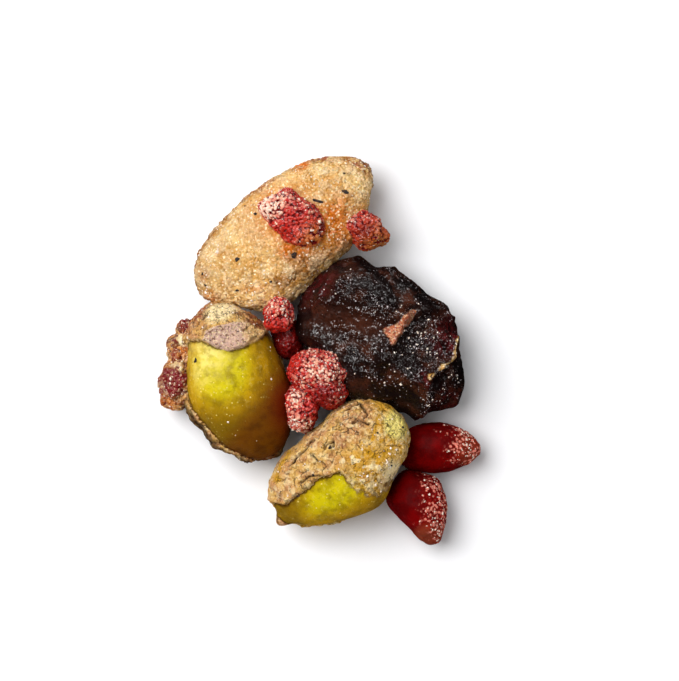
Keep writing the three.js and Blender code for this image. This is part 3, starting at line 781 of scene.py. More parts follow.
# Browned ends of two crumbs: centre in plan and reach, mm.
BROWNED = {"fruit_crumb_on_almond": ((-0.7, 12.9), 1.3), "fruit_crumb_at_edge": ((6.6, 12.2), 2.0)}
# Sugared places (+) and bare red places (-) of the crumbs: centre in plan, reach and strength, mm.
SUGARED = {
    "fruit_crumb_middle": [
        ((-0.7, -2.6), 1.2, 0.5), ((2.0, -1.8), 1.4, 0.2), ((-2.8, -2.0), 1.6, -0.35),
        ((0.2, -5.2), 1.2, -0.6),
    ],
    "fruit_crumb_front": [((-2.4, -8.6), 1.0, 0.5), ((-2.6, -5.6), 1.0, 0.3), ((-0.6, -7.2), 1.0, -0.4)],
    "fruit_crumb_top": [((-5.2, 5.2), 1.2, 0.4), ((-4.6, 2.8), 1.0, -0.4)],
    "fruit_crumb_on_almond": [((-5.8, 16.6), 2.0, 0.7), ((-0.9, 13.2), 1.1, 0.2), ((-2.9, 13.9), 1.7, -0.5)],
    "fruit_crumb_at_edge": [((3.9, 15.0), 1.3, 0.3), ((5.4, 13.4), 1.2, -0.5), ((7.2, 12.6), 0.9, 0.1)],
}


def crumbly(count, rise, seed, pale=0.5, name=None):
    """Crumb relief: lumps of a few sizes set by the golden angle, covered in packed granules."""

    def relief(points, normals, unit):
        reach = 2.1 / math.sqrt(count)
        lump = np.zeros(len(points))
        for k in range(count):
            z = 1 - (2 * k + 1) / count
            site = np.array([[k, seed, 3.0]])
            turn = k * GOLDEN_ANGLE + corner(site, 1)[0] * 0.9
            r = math.sqrt(1 - z * z)
            size = reach * (0.75 + 0.5 * corner(np.array([[k, seed, 5.0]]), 2)[0])
            far = np.arccos(np.clip(unit @ (r * math.cos(turn), r * math.sin(turn), z), -1, 1)) / size
            lump = np.maximum(lump, np.sqrt(np.clip(1 - far**2, 0, 1)) * size)
        lump /= reach
        dome, own = granules(points, sizes().crumb_grain / MM, seed + 2)
        height = 0.5 * rise * (lump - 0.5) + 0.3 * noise(points, 1.3, seed + 1) + 0.34 * (dome - 0.85)
        height += 0.12 * (own - 0.5)
        sugar = pale + 0.3 * noise(points, 1.2, seed + 3) + 0.3 * (smoothstep(0.0, 0.8, normals[:, 2]) - 1)
        for at, reach, strength in SUGARED.get(name, ()):
            sugar += strength * glow(points, at, (reach, reach))
        marks = dict(dome=dome, own=own, pale=sugar, sugar_here=0.07 * np.clip(0.3 + sugar, 0, 1))
        for mark, table in (("tan", BROWNED), ("dark", DARKENED)):
            at, reach = table.get(name, ((0, 0), 0.001))
            marks[mark] = glow(points, at, (reach, reach))
        return height, marks

    return relief


def clumped(points, normals, unit):
    """Clump relief: the lumps of a crumb with coarser granules of several colours."""
    height, marks = crumbly(28, 1.0, 141)(points, normals, unit)
    dome, own = granules(points, sizes().clump_grain / MM, 149)
    height += 0.6 * (dome - 0.8)
    marks["sugar_here"] *= 0.3
    core = glows(points, (1, -16.8, -3.6, 1.6, 1.7), (0.6, -15.2, 3.2, 1.6, 1.2, 40))
    gold = glows(points, (1, -15.4, -0.2, 1.0, 1.3), (0.9, -17.0, -5.9, 0.9, 0.7))
    marks.update(coarse=dome, coarse_own=own, core=np.clip(core, 0, 1), gold=np.clip(gold, 0, 1))
    marks["pale"] = glows(points, (1, -15.6, 1.1, 0.9, 0.8), (0.7, -15.8, -2.2, 0.5, 0.5))
    return height, marks


# ---- materials

class Graph:
    """Short ways to add and join the nodes of one shader tree."""

    def __init__(self, tree):
        self.tree = tree

    def node(self, kind, inputs=(), **settings):
        """Adds a node. inputs pairs a socket's name or number with a value or another node's output."""
        made = self.tree.nodes.new(kind)
        for name, value in settings.items():
            setattr(made, name, value)
        for key, value in dict(inputs).items():
            if isinstance(value, bpy.types.NodeSocket):
                self.tree.links.new(value, made.inputs[key])
            else:
                made.inputs[key].default_value = value
        return made

    def __getitem__(self, name):
        """The value of one of the mesh's own attributes."""
        return self.node("ShaderNodeAttribute", attribute_name=name).outputs["Fac"]

    def maths(self, operation, a, b=0.0, clamp=False):
        """An operation on two numbers."""
        made = self.node("ShaderNodeMath", {0: a, 1: b}, operation=operation, use_clamp=clamp)
        return made.outputs[0]

    def times(self, *values):
        """Product of numbers."""
        out = values[0]
        for value in values[1:]:
            out = self.maths("MULTIPLY", out, value)
        return out

    def plus(self, *values):
        """Sum of numbers."""
        out = values[0]
        for value in values[1:]:
            out = self.maths("ADD", out, value)
        return out

    def vector(self, operation, a, b):
        """A vector operation on two vectors."""
        made = self.node("ShaderNodeVectorMath", {0: a, 1: b}, operation=operation)
        return made.outputs["Value" if operation == "DOT_PRODUCT" else "Vector"]

    def span(self, value, low, high):
        """0 at low, 1 at high, smooth between. low may be the larger of the two."""
        inputs = {"Value": value, "From Min": low, "From Max": high}
        return self.node("ShaderNodeMapRange", inputs, interpolation_type="SMOOTHSTEP").outputs["Result"]

    def mix(self, share, a, b):
        """Blend of two colours. A colour given as three numbers is taken as opaque."""
        made = self.node("ShaderNodeMix", {"Factor": share}, data_type="RGBA")
        for key, value in ((6, a), (7, b)):
            if isinstance(value, bpy.types.NodeSocket):
                self.tree.links.new(value, made.inputs[key])
            else:
                made.inputs[key].default_value = (*value, 1.0)
        return made.outputs[2]

    def layers(self, colour, *rows):
        """Lays colours over a first one. Each row is a colour and the masks that say where it shows."""
        for over, *masks in rows:
            colour = self.mix(self.times(*masks), colour, over)
        return colour

    def use(self, name, **inputs):
        """Places the shared effect of that name with its own values, and gives its outputs."""
        group = bpy.data.node_groups.get(name) or EFFECTS[name](name)
        return self.node("ShaderNodeGroup", inputs, node_tree=group).outputs


def effect(name, inputs, outputs):
    """A new shader node group with float sockets, of which size and seed place it. Gives its graph, its
    inputs and Object coordinates counted in cells of the size in millimetres, moved on by the seed."""
    group = bpy.data.node_groups.new(name, "ShaderNodeTree")
    for label, default in inputs.items():
        made = group.interface.new_socket(label, in_out="INPUT", socket_type="NodeSocketFloat")
        made.default_value = default
    for label in outputs:
        group.interface.new_socket(label, in_out="OUTPUT", socket_type="NodeSocketFloat")
    g = Graph(group)
    given = g.node("NodeGroupInput").outputs
    seed = given["seed"]
    place = g.node("ShaderNodeTexCoord").outputs["Object"]
    scale = g.maths("DIVIDE", 1 / MM, given["size"])
    scaled = g.node("ShaderNodeVectorMath", {0: place, "Scale": scale}, operation="SCALE").outputs["Vector"]
    shift = g.node("ShaderNodeCombineXYZ", {0: seed, 1: g.maths("MULTIPLY", seed, 1.7), 2: seed}).outputs[0]
    return g, given, g.vector("ADD", scaled, shift)


def build_patches(name):
    """Soft blotches: fractal noise of the given size in millimetres, stretched between low and high."""
    g, given, place = effect(name, {"size": 1.0, "seed": 0.0, "low": 0.4, "high": 0.6}, ("Mask",))
    cloud = g.node("ShaderNodeTexNoise", {"Vector": place, "Scale": 1.0, "Detail": 4.0}).outputs["Fac"]
    g.node("NodeGroupOutput", {"Mask": g.span(cloud, given["low"], given["high"])})
    return g.tree


def build_grains(name):
    """Crystal grains: rounded cells of the given size in millimetres, each tilted its own way by facet.
    Gives the height in metres, how high on its grain a point lies, and a random number for each grain."""
    g, given, place = effect(name, {"size": 0.3, "seed": 0.0, "facet": 0.5}, ("Height", "Dome", "Own"))
    cells = g.node("ShaderNodeTexVoronoi", {"Vector": place, "Scale": 1.0}).outputs
    away = g.vector("SUBTRACT", place, cells["Position"])
    lean = g.vector("SUBTRACT", cells["Color"], (0.5, 0.5, 0.5))
    tilt = g.times(g.vector("DOT_PRODUCT", away, lean), given["facet"], 2.0)
    dome = g.maths("SUBTRACT", 1.0, g.times(cells["Distance"], cells["Distance"], 1.4), clamp=True)
    height = g.times(g.plus(g.times(dome, 0.4), tilt), given["size"], MM)
    own = g.node("ShaderNodeSeparateColor", {0: cells["Color"]}).outputs[0]
    g.node("NodeGroupOutput", {"Height": height, "Dome": dome, "Own": own})
    return g.tree


def build_specks(name):
    """Loose round specks: cells of the given size in millimetres, of which the given share holds a speck
    of its own strength."""
    g, given, place = effect(name, {"size": 0.2, "seed": 0.0, "share": 0.1}, ("Mask",))
    cells = g.node("ShaderNodeTexVoronoi", {"Vector": place, "Scale": 1.0}).outputs
    parts = g.node("ShaderNodeSeparateColor", {0: cells["Color"]}).outputs
    chosen = g.maths("LESS_THAN", parts[0], given["share"])
    disc = g.span(cells["Distance"], g.plus(0.18, g.times(parts[1], 0.35)), 0.1)
    g.node("NodeGroupOutput", {"Mask": g.times(chosen, disc, g.plus(0.35, g.times(parts[2], 0.65)))})
    return g.tree


def build_cracks(name):
    """Thin branching cracks: borders of cells of the given size in millimetres, bent by noise and drawn as
    lines of the given width in cell sizes, kept only here and there."""
    g, given, place = effect(name, {"size": 1.0, "seed": 0.0, "width": 0.05}, ("Mask",))
    cloud = g.node("ShaderNodeTexNoise", {"Vector": place, "Scale": 1.6, "Detail": 3.0}).outputs
    bent = g.vector("ADD", place, g.vector("MULTIPLY", cloud["Color"], (0.9, 0.9, 0.9)))
    cells = g.node("ShaderNodeTexVoronoi", {"Vector": bent, "Scale": 1.0}, feature="DISTANCE_TO_EDGE")
    line = g.span(cells.outputs["Distance"], given["width"], 0.0)
    g.node("NodeGroupOutput", {"Mask": g.times(line, g.span(cloud["Fac"], 0.48, 0.56))})
    return g.tree


EFFECTS = {
    "soft_patches": build_patches,
    "crystal_grains": build_grains,
    "loose_specks": build_specks,
    "fine_cracks": build_cracks,
}


def patches(g, size, seed, low=0.4, high=0.6):
    """Mask of soft blotches of a size in millimetres."""
    return g.use("soft_patches", size=size, seed=seed, low=low, high=high)["Mask"]


def new_material(name):
    """The graph of a new node material. It also keeps the material itself."""
    material = bpy.data.materials.new(name)
    material.use_nodes = True
    g = Graph(material.node_tree)
    g.material = material
    return g


def finish_material(g, colour, roughness, height, plain):
    """Joins colour, roughness and a height in metres to the Principled shader, sets its plain values and
    gives the material."""
    shader = g.tree.nodes["Principled BSDF"]
    bump = g.node("ShaderNodeBump", {"Height": height, "Distance": 1.0, "Strength": 1.0})
    links = g.tree.links
    links.new(colour, shader.inputs["Base Color"])
    links.new(roughness, shader.inputs["Roughness"])
    links.new(bump.outputs["Normal"], shader.inputs["Normal"])
    for name, value in plain.items():
        shader.inputs[name].default_value = value
    return g.material


def soft_flesh(depth, *reach, shine=0.5):
    """Plain shader values for flesh that light sinks into: how far in millimetres, and by colour."""
    return {
        "Subsurface Weight": 0.15,
        "Subsurface Radius": reach,
        "Subsurface Scale": depth * MM,
        "Specular IOR Level": shine,
    }


def pistachio_material():
    """Bare kernel from amber through gold to green, under plates of tan crust with cracks and pits, with
    painted shade on the kernel's far side and lower end and in the crust's crevices, a painted shadow beside
    the crust's lifted edge and a painted red bounce.
    """
    c = colours()
    g = new_material("pistachio_kernel")
    grains = g.use("crystal_grains", size=0.2, seed=3.0, facet=0.5)
    fine = g.use("crystal_grains", size=0.13, seed=4.0, facet=0.3)
    crust_edge = g.plus(g["edge"], g.times(g.plus(patches(g, 0.3, 6.0, 0.2, 0.8), -0.5), 0.2))
    blend = g.plus(0.04, g.times(g["golden"], 0.3))
    cover = g.span(crust_edge, g.times(blend, -1.0), blend)
    # Painted shadow: a dark line on the bare kernel just beside the crust's lifted edge, where the lip throws
    # its shadow.
    lip_shadow = g.times(g.span(crust_edge, -0.35, -0.04), g.span(crust_edge, 0.1, -0.02))
    kernel = g.mix(g.span(g["green"], 0.15, 0.8), c.kernel_gold, c.kernel_green)
    # Pale streaks, with a painted highlight on the left kernel's lit side.
    pale_and_highlight = g.times(g["pale"], g.plus(0.35, g.times(patches(g, 0.9, 13.0), 0.6)))
    dusk = g.mix(g.times(patches(g, 1.2, 11.0, 0.4, 0.7), 0.6), c.kernel_olive, c.kernel_red)
    specks = g.use("loose_specks", size=0.3, seed=7.0, share=0.12)["Mask"]
    crust = g.mix(patches(g, 1.6, 5.0), c.crust_tan, c.crust_pink)
    kernel = g.layers(
        kernel,
        (c.kernel_shade, patches(g, 1.5, 2.0, 0.42, 0.68), 0.55),
        (c.kernel_pale, patches(g, 0.5, 9.0, 0.52, 0.72), 0.15),
        (c.kernel_shade, patches(g, 0.45, 10.0, 0.52, 0.7), 0.3),
        (c.kernel_pale, pale_and_highlight),
        (c.kernel_shade, g["shade"], 0.85),
        # Painted shade: the side away from the light turns olive and dark red, partly the kernel's own
        # browner rim.
        (dusk, g.span(g["amber"], 0.0, 0.9), 0.92),
        # Painted red bounce light on the left kernel's right edge.
        (c.crumb_deep, g["blush"], 0.75),
        (c.kernel_pale, specks, g.span(g["amber"], 0.9, 0.2)),
        (c.kernel_red, lip_shadow, 0.85),
    )
    cracks = g.use("fine_cracks", size=1.1, seed=16.0, width=0.07)["Mask"]
    pits = g.use("loose_specks", size=0.5, seed=19.0, share=0.2)["Mask"]
    crust = g.layers(
        crust,
        (c.crust_cream, patches(g, 0.8, 14.0, 0.5, 0.62), 0.5),
        (c.glaze_gold, g["golden"], g.plus(0.35, g.times(patches(g, 1.0, 12.0), 0.5))),
        (c.crust_cream, g["golden"], patches(g, 0.7, 17.0, 0.45, 0.6), 0.75),
        (c.crust_cream, g.span(grains["Own"], 0.7, 0.95), 0.3),
        (c.crust_brown, g.span(grains["Own"], 0.25, 0.05), 0.25),
        (c.glaze_gold, g["glaze"], 0.85),
        (c.crust_rust, g["rusty"], patches(g, 0.5, 15.0, 0.36, 0.5), 0.85),
        (c.kernel_pale, g.span(g["pale"], 0.3, 0.7), 0.85),
        (c.crust_cream, g.span(g["cream"], 0.25, 0.7), 0.85),
        (c.kernel_red, g["rusty"], g.span(g["dome"], 0.75, 0.3), 0.9),
        # dark: real cracks, the left crust's dark rim with painted shade, and the painted shadow on the right
        # kernel's flank.
        (c.crust_dark, g["dark"], g.plus(0.7, g.times(patches(g, 0.7, 21.0), 0.3))),
        # Painted shade: the low places between the crust's granules are browned.
        (c.crust_brown, g.span(g["dome"], 0.5, 0.2), 0.45),
        (c.crust_dark, g.maths("MAXIMUM", cracks, g.times(pits, 0.8)), 0.8),
    )
    colour = g.mix(cover, kernel, crust)
    skin = g.layers(
        c.skin_grey,
        (c.crust_tan, g["flake_tan"], 0.8),
        (c.crust_cream, patches(g, 0.25, 8.0, 0.5, 0.65), 0.6),
        (c.crust_brown, patches(g, 0.4, 18.0, 0.56, 0.62), 0.7),
    )
    roughness = g.plus(0.3, g.times(grains["Own"], 0.25))
    coarse = g.times(grains["Height"], g.plus(0.15, g.times(cover, 0.6)))
    sunken = g.times(cracks, cover, -0.06 * MM), g.times(pits, cover, -0.05 * MM)
    height = g.plus(g.times(fine["Height"], 0.35), coarse, *sunken)
    plain = soft_flesh(0.8, 1.0, 0.7, 0.15, shine=0.06)
    colour = g.mix(g["flake"], colour, skin)
    return finish_material(g, colour, roughness, height, plain)


def almond_material():
    """Honey-tan glaze with amber hollows and painted highlights on the small granules' crowns, browner and
    rougher along the sides, where the brown is partly painted shade.
    """
    c = colours()
    g = new_material("almond_glaze")
    grains = g.use("crystal_grains", size=0.26, seed=11.0, facet=1.0)
    colour = g.mix(patches(g, 2.6, 12.0), c.glaze_light, c.glaze_warm)
    # thin: the browner sides, partly painted shade, and darker towards the far left end.
    thin = g.plus(g["side"], g.times(g["far"], 0.4))
    hollow = g.maths("MAXIMUM", g.span(g["dome"], 0.6, 0.25), g.span(g["small"], 0.55, 0.2))
    # Painted highlights: cream dots on the crowns of the small granules stand in for glints on the wet glaze.
    painted_highlights = g.times(g.span(g["small"], 0.8, 0.97), g.span(g["small_own"], 0.45, 0.7))
    roughness = g.plus(0.14, g.times(g.span(grains["Own"], 0.3, 0.7), 0.3))
    plain = soft_flesh(0.8, 1.0, 0.6, 0.3, shine=0.3)
    colour = g.layers(
        colour,
        (c.glaze_amber, patches(g, 0.8, 13.0, 0.5, 0.65), 0.15),
        (c.glaze_clear, patches(g, 1.1, 14.0, 0.55, 0.68), 0.25),
        (c.glaze_brown, thin, 0.7),
        (c.glaze_cream, g.span(g["own"], 0.7, 0.85), 0.2),
        (c.glaze_clear, g["clear"], 0.35),
        (c.glaze_orange, g["orange"], patches(g, 0.5, 16.0, 0.3, 0.5)),
        (c.crust_rust, g["ruddy"], patches(g, 0.5, 17.0, 0.4, 0.55), 0.9),
        (c.glaze_amber, hollow, 0.3),
        (c.glaze_brown, hollow, g["side"], 0.5),
        (c.glaze_cream, painted_highlights, g.plus(0.8, g.times(g["side"], -0.6))),
    )
    return finish_material(g, colour, roughness, g.times(grains["Height"], 0.6), plain)


def cherry_material():
    """Near-black glossy skin, brown where thin, ruby where painted light shines through, with a torn rusty
    flake, white specks of sugar that also stand for painted glints, and tiny glints.
    """
    c = colours()
    g = new_material("dried_cherry_skin")
    skin = g.use("crystal_grains", size=0.32, seed=21.0, facet=0.5)
    fine = g.use("crystal_grains", size=0.15, seed=22.0, facet=1.1)
    colour = g.mix(patches(g, 2.2, 22.0, 0.45, 0.75), c.cherry_black, c.cherry_brown)
    flake = g.mix(patches(g, 0.3, 24.0, 0.42, 0.58), c.cherry_rust, c.crust_rust)
    flake = g.mix(g.times(g.span(fine["Own"], 0.6, 0.9), 0.35), flake, c.crust_cream)
    rim = g.mix(g.span(fine["Own"], 0.5, 0.9), c.glaze_warm, c.crust_cream)
    # The white specks are partly sugar and partly painted glints.
    few = g.use("loose_specks", size=0.3, seed=25.0, share=g.times(g["dust"], 0.3))["Mask"]
    many = g.use("loose_specks", size=0.2, seed=26.0, share=g.times(g["dust"], 0.3))["Mask"]
    dust = g.maths("MAXIMUM", few, g.times(many, 0.7))
    dull = g.span(g["dust"], 0.4, 0.05)
    roughness = g.plus(0.15, g.times(dull, 0.1), g.times(dust, 0.3), g.times(g["rust"], 0.3))
    uneven = g.plus(0.17, g.times(g.span(g["dust"], 0.0, 0.6), 0.33))
    height = g.plus(g.times(skin["Height"], 0.1), g.times(fine["Height"], uneven), g.times(dust, 0.03 * MM))
    height = g.times(height, g.maths("SUBTRACT", 1.0, g.times(g["crest"], 0.5)))
    colour = g.layers(
        colour,
        (c.cherry_brown, g["brown"], 0.85),
        (c.cherry_ruby, g["ruby"], patches(g, 0.9, 23.0, 0.35, 0.6)),
        (c.cherry_black, g.span(fine["Own"], 0.4, 0.0), 0.5),
        (flake, g["rust"]),
        (rim, g["rim"], patches(g, 0.5, 27.0, 0.35, 0.5)),
        (c.sugar_dust_and_glints, dust),
    )
    return finish_material(g, colour, roughness, height, {"Specular IOR Level": 0.27})


def drop_material():
    """Deep red satin fruit with pink frost."""
    c = colours()
    g = new_material("red_fruit")
    grains = g.use("crystal_grains", size=0.2, seed=31.0, facet=0.6)
    colour = g.mix(patches(g, 2.0, 32.0), c.drop_dark, c.drop_red)
    frost = g.times(g["frost"], g.span(g["dome"], 0.6, 0.85))
    chosen = g.span(g.plus(g["own"], g.times(g["frost"], 0.25)), 0.7, 0.95)
    roughness = g.plus(0.5, g.times(frost, -0.3))
    height = g.times(grains["Height"], g.plus(0.12, g.times(g["frost"], 0.6)))
    plain = soft_flesh(1.0, 1.0, 0.08, 0.05, shine=0.015)
    colour = g.layers(
        colour,
        (c.crust_rust, g.span(g["near"], 0.75, 1.0), 0.5),
        (c.crumb_red, g["frost"], 0.15),
        (c.frost_pink, frost, chosen),
    )
    return finish_material(g, colour, roughness, height, plain)


def crumb_material():
    """Red beads with deep crevices, of which some are sugared pink or white, and small glints, with painted
    shade where a crumb lies out of the light.
    """
    c = colours()
    g = new_material("sugared_fruit_crumb")
    grains = g.use("crystal_grains", size=0.16, seed=41.0, facet=0.7)
    colour = g.mix(g.span(g["dome"], 0.56, 0.86), c.crumb_deep, c.crumb_red)
    share = g.plus(g.times(g["own"], 0.8), g["pale"])
    sugar = g.times(g.span(share, 0.3, 0.95), g.span(g["dome"], 0.6, 0.86))
    browned = g.times(g["tan"], g.span(g["dome"], 0.55, 0.8))
    brown = g.mix(g["own"], c.clump_tan, c.glaze_orange)
    white = g.times(g.span(share, 0.8, 1.1), g.span(g["dome"], 0.75, 0.95))
    roughness = g.plus(0.16, g.times(grains["Own"], 0.2))
    plain = soft_flesh(0.3, 1.0, 0.25, 0.2)
    colour = g.layers(
        colour,
        (c.crumb_pink, sugar),
        (brown, browned, 0.85),
        (c.sugar, white, 0.7),
        # Painted shade: crumbs and clefts that lie out of the light are turned deep red.
        (c.crumb_deep, g["dark"], 0.8),
    )
    return finish_material(g, colour, roughness, g.times(grains["Height"], 0.6), plain)


def clump_material():
    """Tan, brown and red granules of seasoning."""
    c = colours()
    g = new_material("seasoning_clump")
    grains = g.use("crystal_grains", size=0.18, seed=51.0, facet=0.6)
    colour = g.mix(g.span(g["own"], 0.2, 0.8), c.clump_brown, c.clump_tan)
    hollow = g.maths("MAXIMUM", g.span(g["coarse"], 0.5, 0.15), g.span(g["dome"], 0.65, 0.35))
    roughness = g.plus(0.25, g.times(grains["Own"], 0.3))
    colour = g.layers(
        colour,
        (c.clump_red, g.span(g["coarse_own"], 0.3, 0.25), 0.7),
        (c.crust_cream, g.span(g["coarse_own"], 0.8, 0.85), 0.5),
        (c.glaze_orange, g["gold"], 0.65),
        (c.clump_red, g.span(g["core"], 0.25, 0.6)),
        (c.crust_cream, g.span(g["pale"], 0.3, 0.8)),
        (c.crust_cream, g.span(grains["Own"], 0.75, 0.9), 0.35),
        (c.crumb_deep, hollow, 0.85),
    )
    plain = soft_flesh(0.3, 1.0, 0.4, 0.3)
    return finish_material(g, colour, roughness, g.times(grains["Height"], 0.8), plain)


def sugar_material():
    """Clear to pinkish sugar, glossy, slightly cloudy."""
    c = colours()
    g = new_material("sugar_crystal")
    grains = g.use("crystal_grains", size=0.1, seed=61.0, facet=0.3)
    colour = g.mix(g.times(patches(g, 0.5, 62.0), 0.15), c.sugar, c.frost_pink)
    roughness = g.plus(0.1, g.times(grains["Own"], 0.25))
    plain = soft_flesh(0.2, 1.0, 0.8, 0.8)
    return finish_material(g, colour, roughness, g.times(grains["Height"], 0.2), plain)


def pepper_material():
    """Dark, brittle flecks."""
    c = colours()
    g = new_material("pepper_fleck")
    grains = g.use("crystal_grains", size=0.12, seed=71.0, facet=0.5)
    colour = g.mix(patches(g, 0.3, 72.0, 0.5, 0.7), c.pepper, c.crust_brown)
    roughness = g.plus(0.35, g.times(grains["Own"], 0.3))
    return finish_material(g, colour, roughness, g.times(grains["Height"], 0.5), {"Specular IOR Level": 0.4})


def floor_material():
    """Plain pale floor with the faintest unevenness."""
    c = colours()
    g = new_material("pale_floor")
    cloud = patches(g, 60.0, 81.0)
    colour = g.mix(g.times(cloud, 0.02), c.floor, (0.8, 0.8, 0.8))
    return finish_material(g, colour, g.plus(0.6, g.times(cloud, 0.02)), g.times(cloud, 0.001 * MM), {})


# ---- scattered things


def surface_of(piece):
    """Points in millimetres, unit normals and the sugar mark of a finished piece."""
    mesh = piece.data
    count = len(mesh.vertices)
    points = np.empty(count * 3)
    mesh.vertices.foreach_get("co", points)
    normals = np.empty(count * 3)
    mesh.vertex_normals.foreach_get("vector", normals)
    wanted = np.zeros(count)
    if "sugar_here" in mesh.attributes:
        mesh.attributes["sugar_here"].data.foreach_get("value", wanted)
    return points.reshape(-1, 3) / MM, normals.reshape(-1, 3), wanted


def octahedra(centres, normals, widths, flat, rng):
    """Small uneven crystals: six points along three turned axes of each crystal, joined by eight faces."""
    n = len(centres)
    spin = rng.normal(size=(n, 3))
    first = np.cross(normals, spin)
    first /= np.linalg.norm(first, axis=1, keepdims=True)
    second = np.cross(normals, first)
    reach = widths[:, None] * rng.uniform(0.35, 0.65, size=(n, 6))
    reach[:, 4:] *= flat
    axes = np.stack([first, second, normals], axis=1)
    corners = np.concatenate([axes, -axes], axis=1) * reach[:, [0, 2, 4, 1, 3, 5], None]
    points = (centres[:, None] + corners).reshape(-1, 3)
    faces = np.array([(0, 1, 2), (1, 3, 2), (3, 4, 2), (4, 0, 2), (1, 0, 5), (3, 1, 5), (4, 3, 5), (0, 4, 5)])
    return points, (faces[None] + 6 * np.arange(n)[:, None, None]).reshape(-1, 3)


def flecks(centres, normals, sizes_mm, rng):
    """Thin irregular flakes: a ring of points at uneven distances round each centre, between one point just
    above it and one just below. sizes_mm gives each flake's length, width and turn in degrees."""
    n = len(centres)
    side = np.cross(normals, (0.0, 1.0, 0.0))
    side /= np.linalg.norm(side, axis=1, keepdims=True)
    ahead = np.cross(normals, side)
    angle = np.arange(8) * 2 * np.pi / 8 + rng.uniform(-0.25, 0.25, size=(n, 8))
    reach = rng.uniform(0.32, 0.55, size=(n, 8))
    u = reach * np.cos(angle) * sizes_mm[:, :1]
    v = reach * np.sin(angle) * sizes_mm[:, 1:2]
    turn = np.radians(sizes_mm[:, 2:3])
    across, along = u * np.cos(turn) - v * np.sin(turn), u * np.sin(turn) + v * np.cos(turn)
    lift = rng.uniform(-0.06, 0.1, size=(n, 8))
    ring = centres[:, None] + across[..., None] * side[:, None] + along[..., None] * ahead[:, None]
    ring += lift[..., None] * normals[:, None]
    caps = np.stack([centres + 0.12 * normals, centres - 0.12 * normals], axis=1)
    points = np.concatenate([ring, caps], axis=1).reshape(-1, 3)
    step = np.arange(8)
    after = (step + 1) % 8
    upper = np.stack([step, after, np.full(8, 8)], axis=1)
    lower = np.stack([after, step, np.full(8, 9)], axis=1)
    faces = np.concatenate([upper, lower])
    return points, (faces[None] + 10 * np.arange(n)[:, None, None]).reshape(-1, 3)


SUGAR_SEED = 7
PEPPER_SEED = 11
# For each piece, x, y, length, width and turn of its pepper flecks in plan, mm and degrees.
PEPPER = {
    "almond_glazed": [
        (2.9, 20.2, 0.4, 0.35, 0), (3.0, 18.1, 1.0, 0.6, -25), (-0.1, 17.0, 1.5, 0.4, -15),
        (-6.8, 15.8, 0.4, 0.3, 0), (-8.5, 16.4, 0.3, 0.3, 0), (-2.9, 10.8, 0.9, 0.8, 30),
        (-9.4, 10.3, 0.7, 0.6, 0), (-13.4, 8.7, 0.5, 0.35, 60), (-13.1, 7.4, 0.4, 0.4, 0),
        (-9.4, 6.8, 0.45, 0.4, 0), (-5.5, 7.8, 0.4, 0.4, 0), (-7.2, 15.6, 0.45, 0.4, 0),
    ],
    "kernel_left": [(-14.1, -1.2, 0.7, 0.6, 60), (-6.4, 1.6, 0.35, 0.35, 0), (-9.2, 2.0, 0.25, 0.2, 0)],
    "kernel_right": [
        (1.3, -11.1, 0.6, 0.5, 30), (6.7, -9.5, 0.35, 0.35, 0), (-0.7, -14.3, 0.45, 0.4, 0),
        (-2.4, -16.7, 0.9, 0.4, 20), (8.3, -13.2, 0.4, 0.35, 0), (9.6, -8.9, 0.4, 0.35, 0),
        (-0.2, -12.6, 0.4, 0.25, 0),
    ],
}


# ---- operators


class SNACKMIX_OT_pistachios(bpy.types.Operator):
    """Build the two pistachio kernels with their crust"""

    bl_idname = "snackmix.pistachios"
    bl_label = "Pistachios"

    def execute(self, context):
        material = pistachio_material()
        reliefs = {
            "left": crusted(LEFT_WINDOW, LEFT_NUBS, THIN_NOWHERE, 31, left_extras),
            "right": crusted(RIGHT_WINDOW, RIGHT_NUBS, THIN_FROM, 21, right_extras),
        }
        for side, relief in reliefs.items():
            node = "pistachio_" + side
            mesh_piece("kernel_" + side, *pebble(node, KERNEL_CUTS, relief), material, node, "pistachio")
        return {"FINISHED"}


class SNACKMIX_OT_almond(bpy.types.Operator):
    """Build the glazed almond"""

    bl_idname = "snackmix.almond"
    bl_label = "Almond"

    def execute(self, context):
        surface = pebble("almond", LARGE_CUTS, glazed)
        mesh_piece("almond_glazed", *surface, almond_material(), "almond", "almond")
        return {"FINISHED"}


class SNACKMIX_OT_cherry(bpy.types.Operator):
    """Build the dried cherry"""

    bl_idname = "snackmix.cherry"
    bl_label = "Dried cherry"

    def execute(self, context):
        surface = pebble("dried_cherry", LARGE_CUTS, wrinkled)
        mesh_piece("cherry_skin", *surface, cherry_material(), "dried_cherry", "cherry")
        return {"FINISHED"}


class SNACKMIX_OT_drops(bpy.types.Operator):
    """Build the two red fruit drops"""

    bl_idname = "snackmix.drops"
    bl_label = "Fruit drops"

    def execute(self, context):
        material = drop_material()
        for name, (tip, side, seed) in FROSTS.items():
            surface = pebble(name, DROP_CUTS, frosted(tip, side, seed))
            mesh_piece(name.replace("fruit_", "red_"), *surface, material, name, "fruit_drop")
        return {"FINISHED"}


class SNACKMIX_OT_crumbs(bpy.types.Operator):
    """Build the sugared fruit crumbs"""

    bl_idname = "snackmix.crumbs"
    bl_label = "Fruit crumbs"

    def execute(self, context):
        material = crumb_material()
        for name, (count, rise, seed, pale, cuts) in CRUMBS.items():
            surface = pebble(name, cuts, crumbly(count, rise, seed, pale, name))
            mesh_piece(name.replace("fruit_crumb", "sugared_crumb"), *surface, material, name, "fruit_crumb")
        return {"FINISHED"}


class SNACKMIX_OT_clump(bpy.types.Operator):
    """Build the clump of seasoning"""

    bl_idname = "snackmix.clump"
    bl_label = "Seasoning clump"

    def execute(self, context):
        surface = pebble("seasoning_clump", CLUMP_CUTS, clumped)
        mesh_piece("granular_clump", *surface, clump_material(), "seasoning_clump", "seasoning")
        return {"FINISHED"}


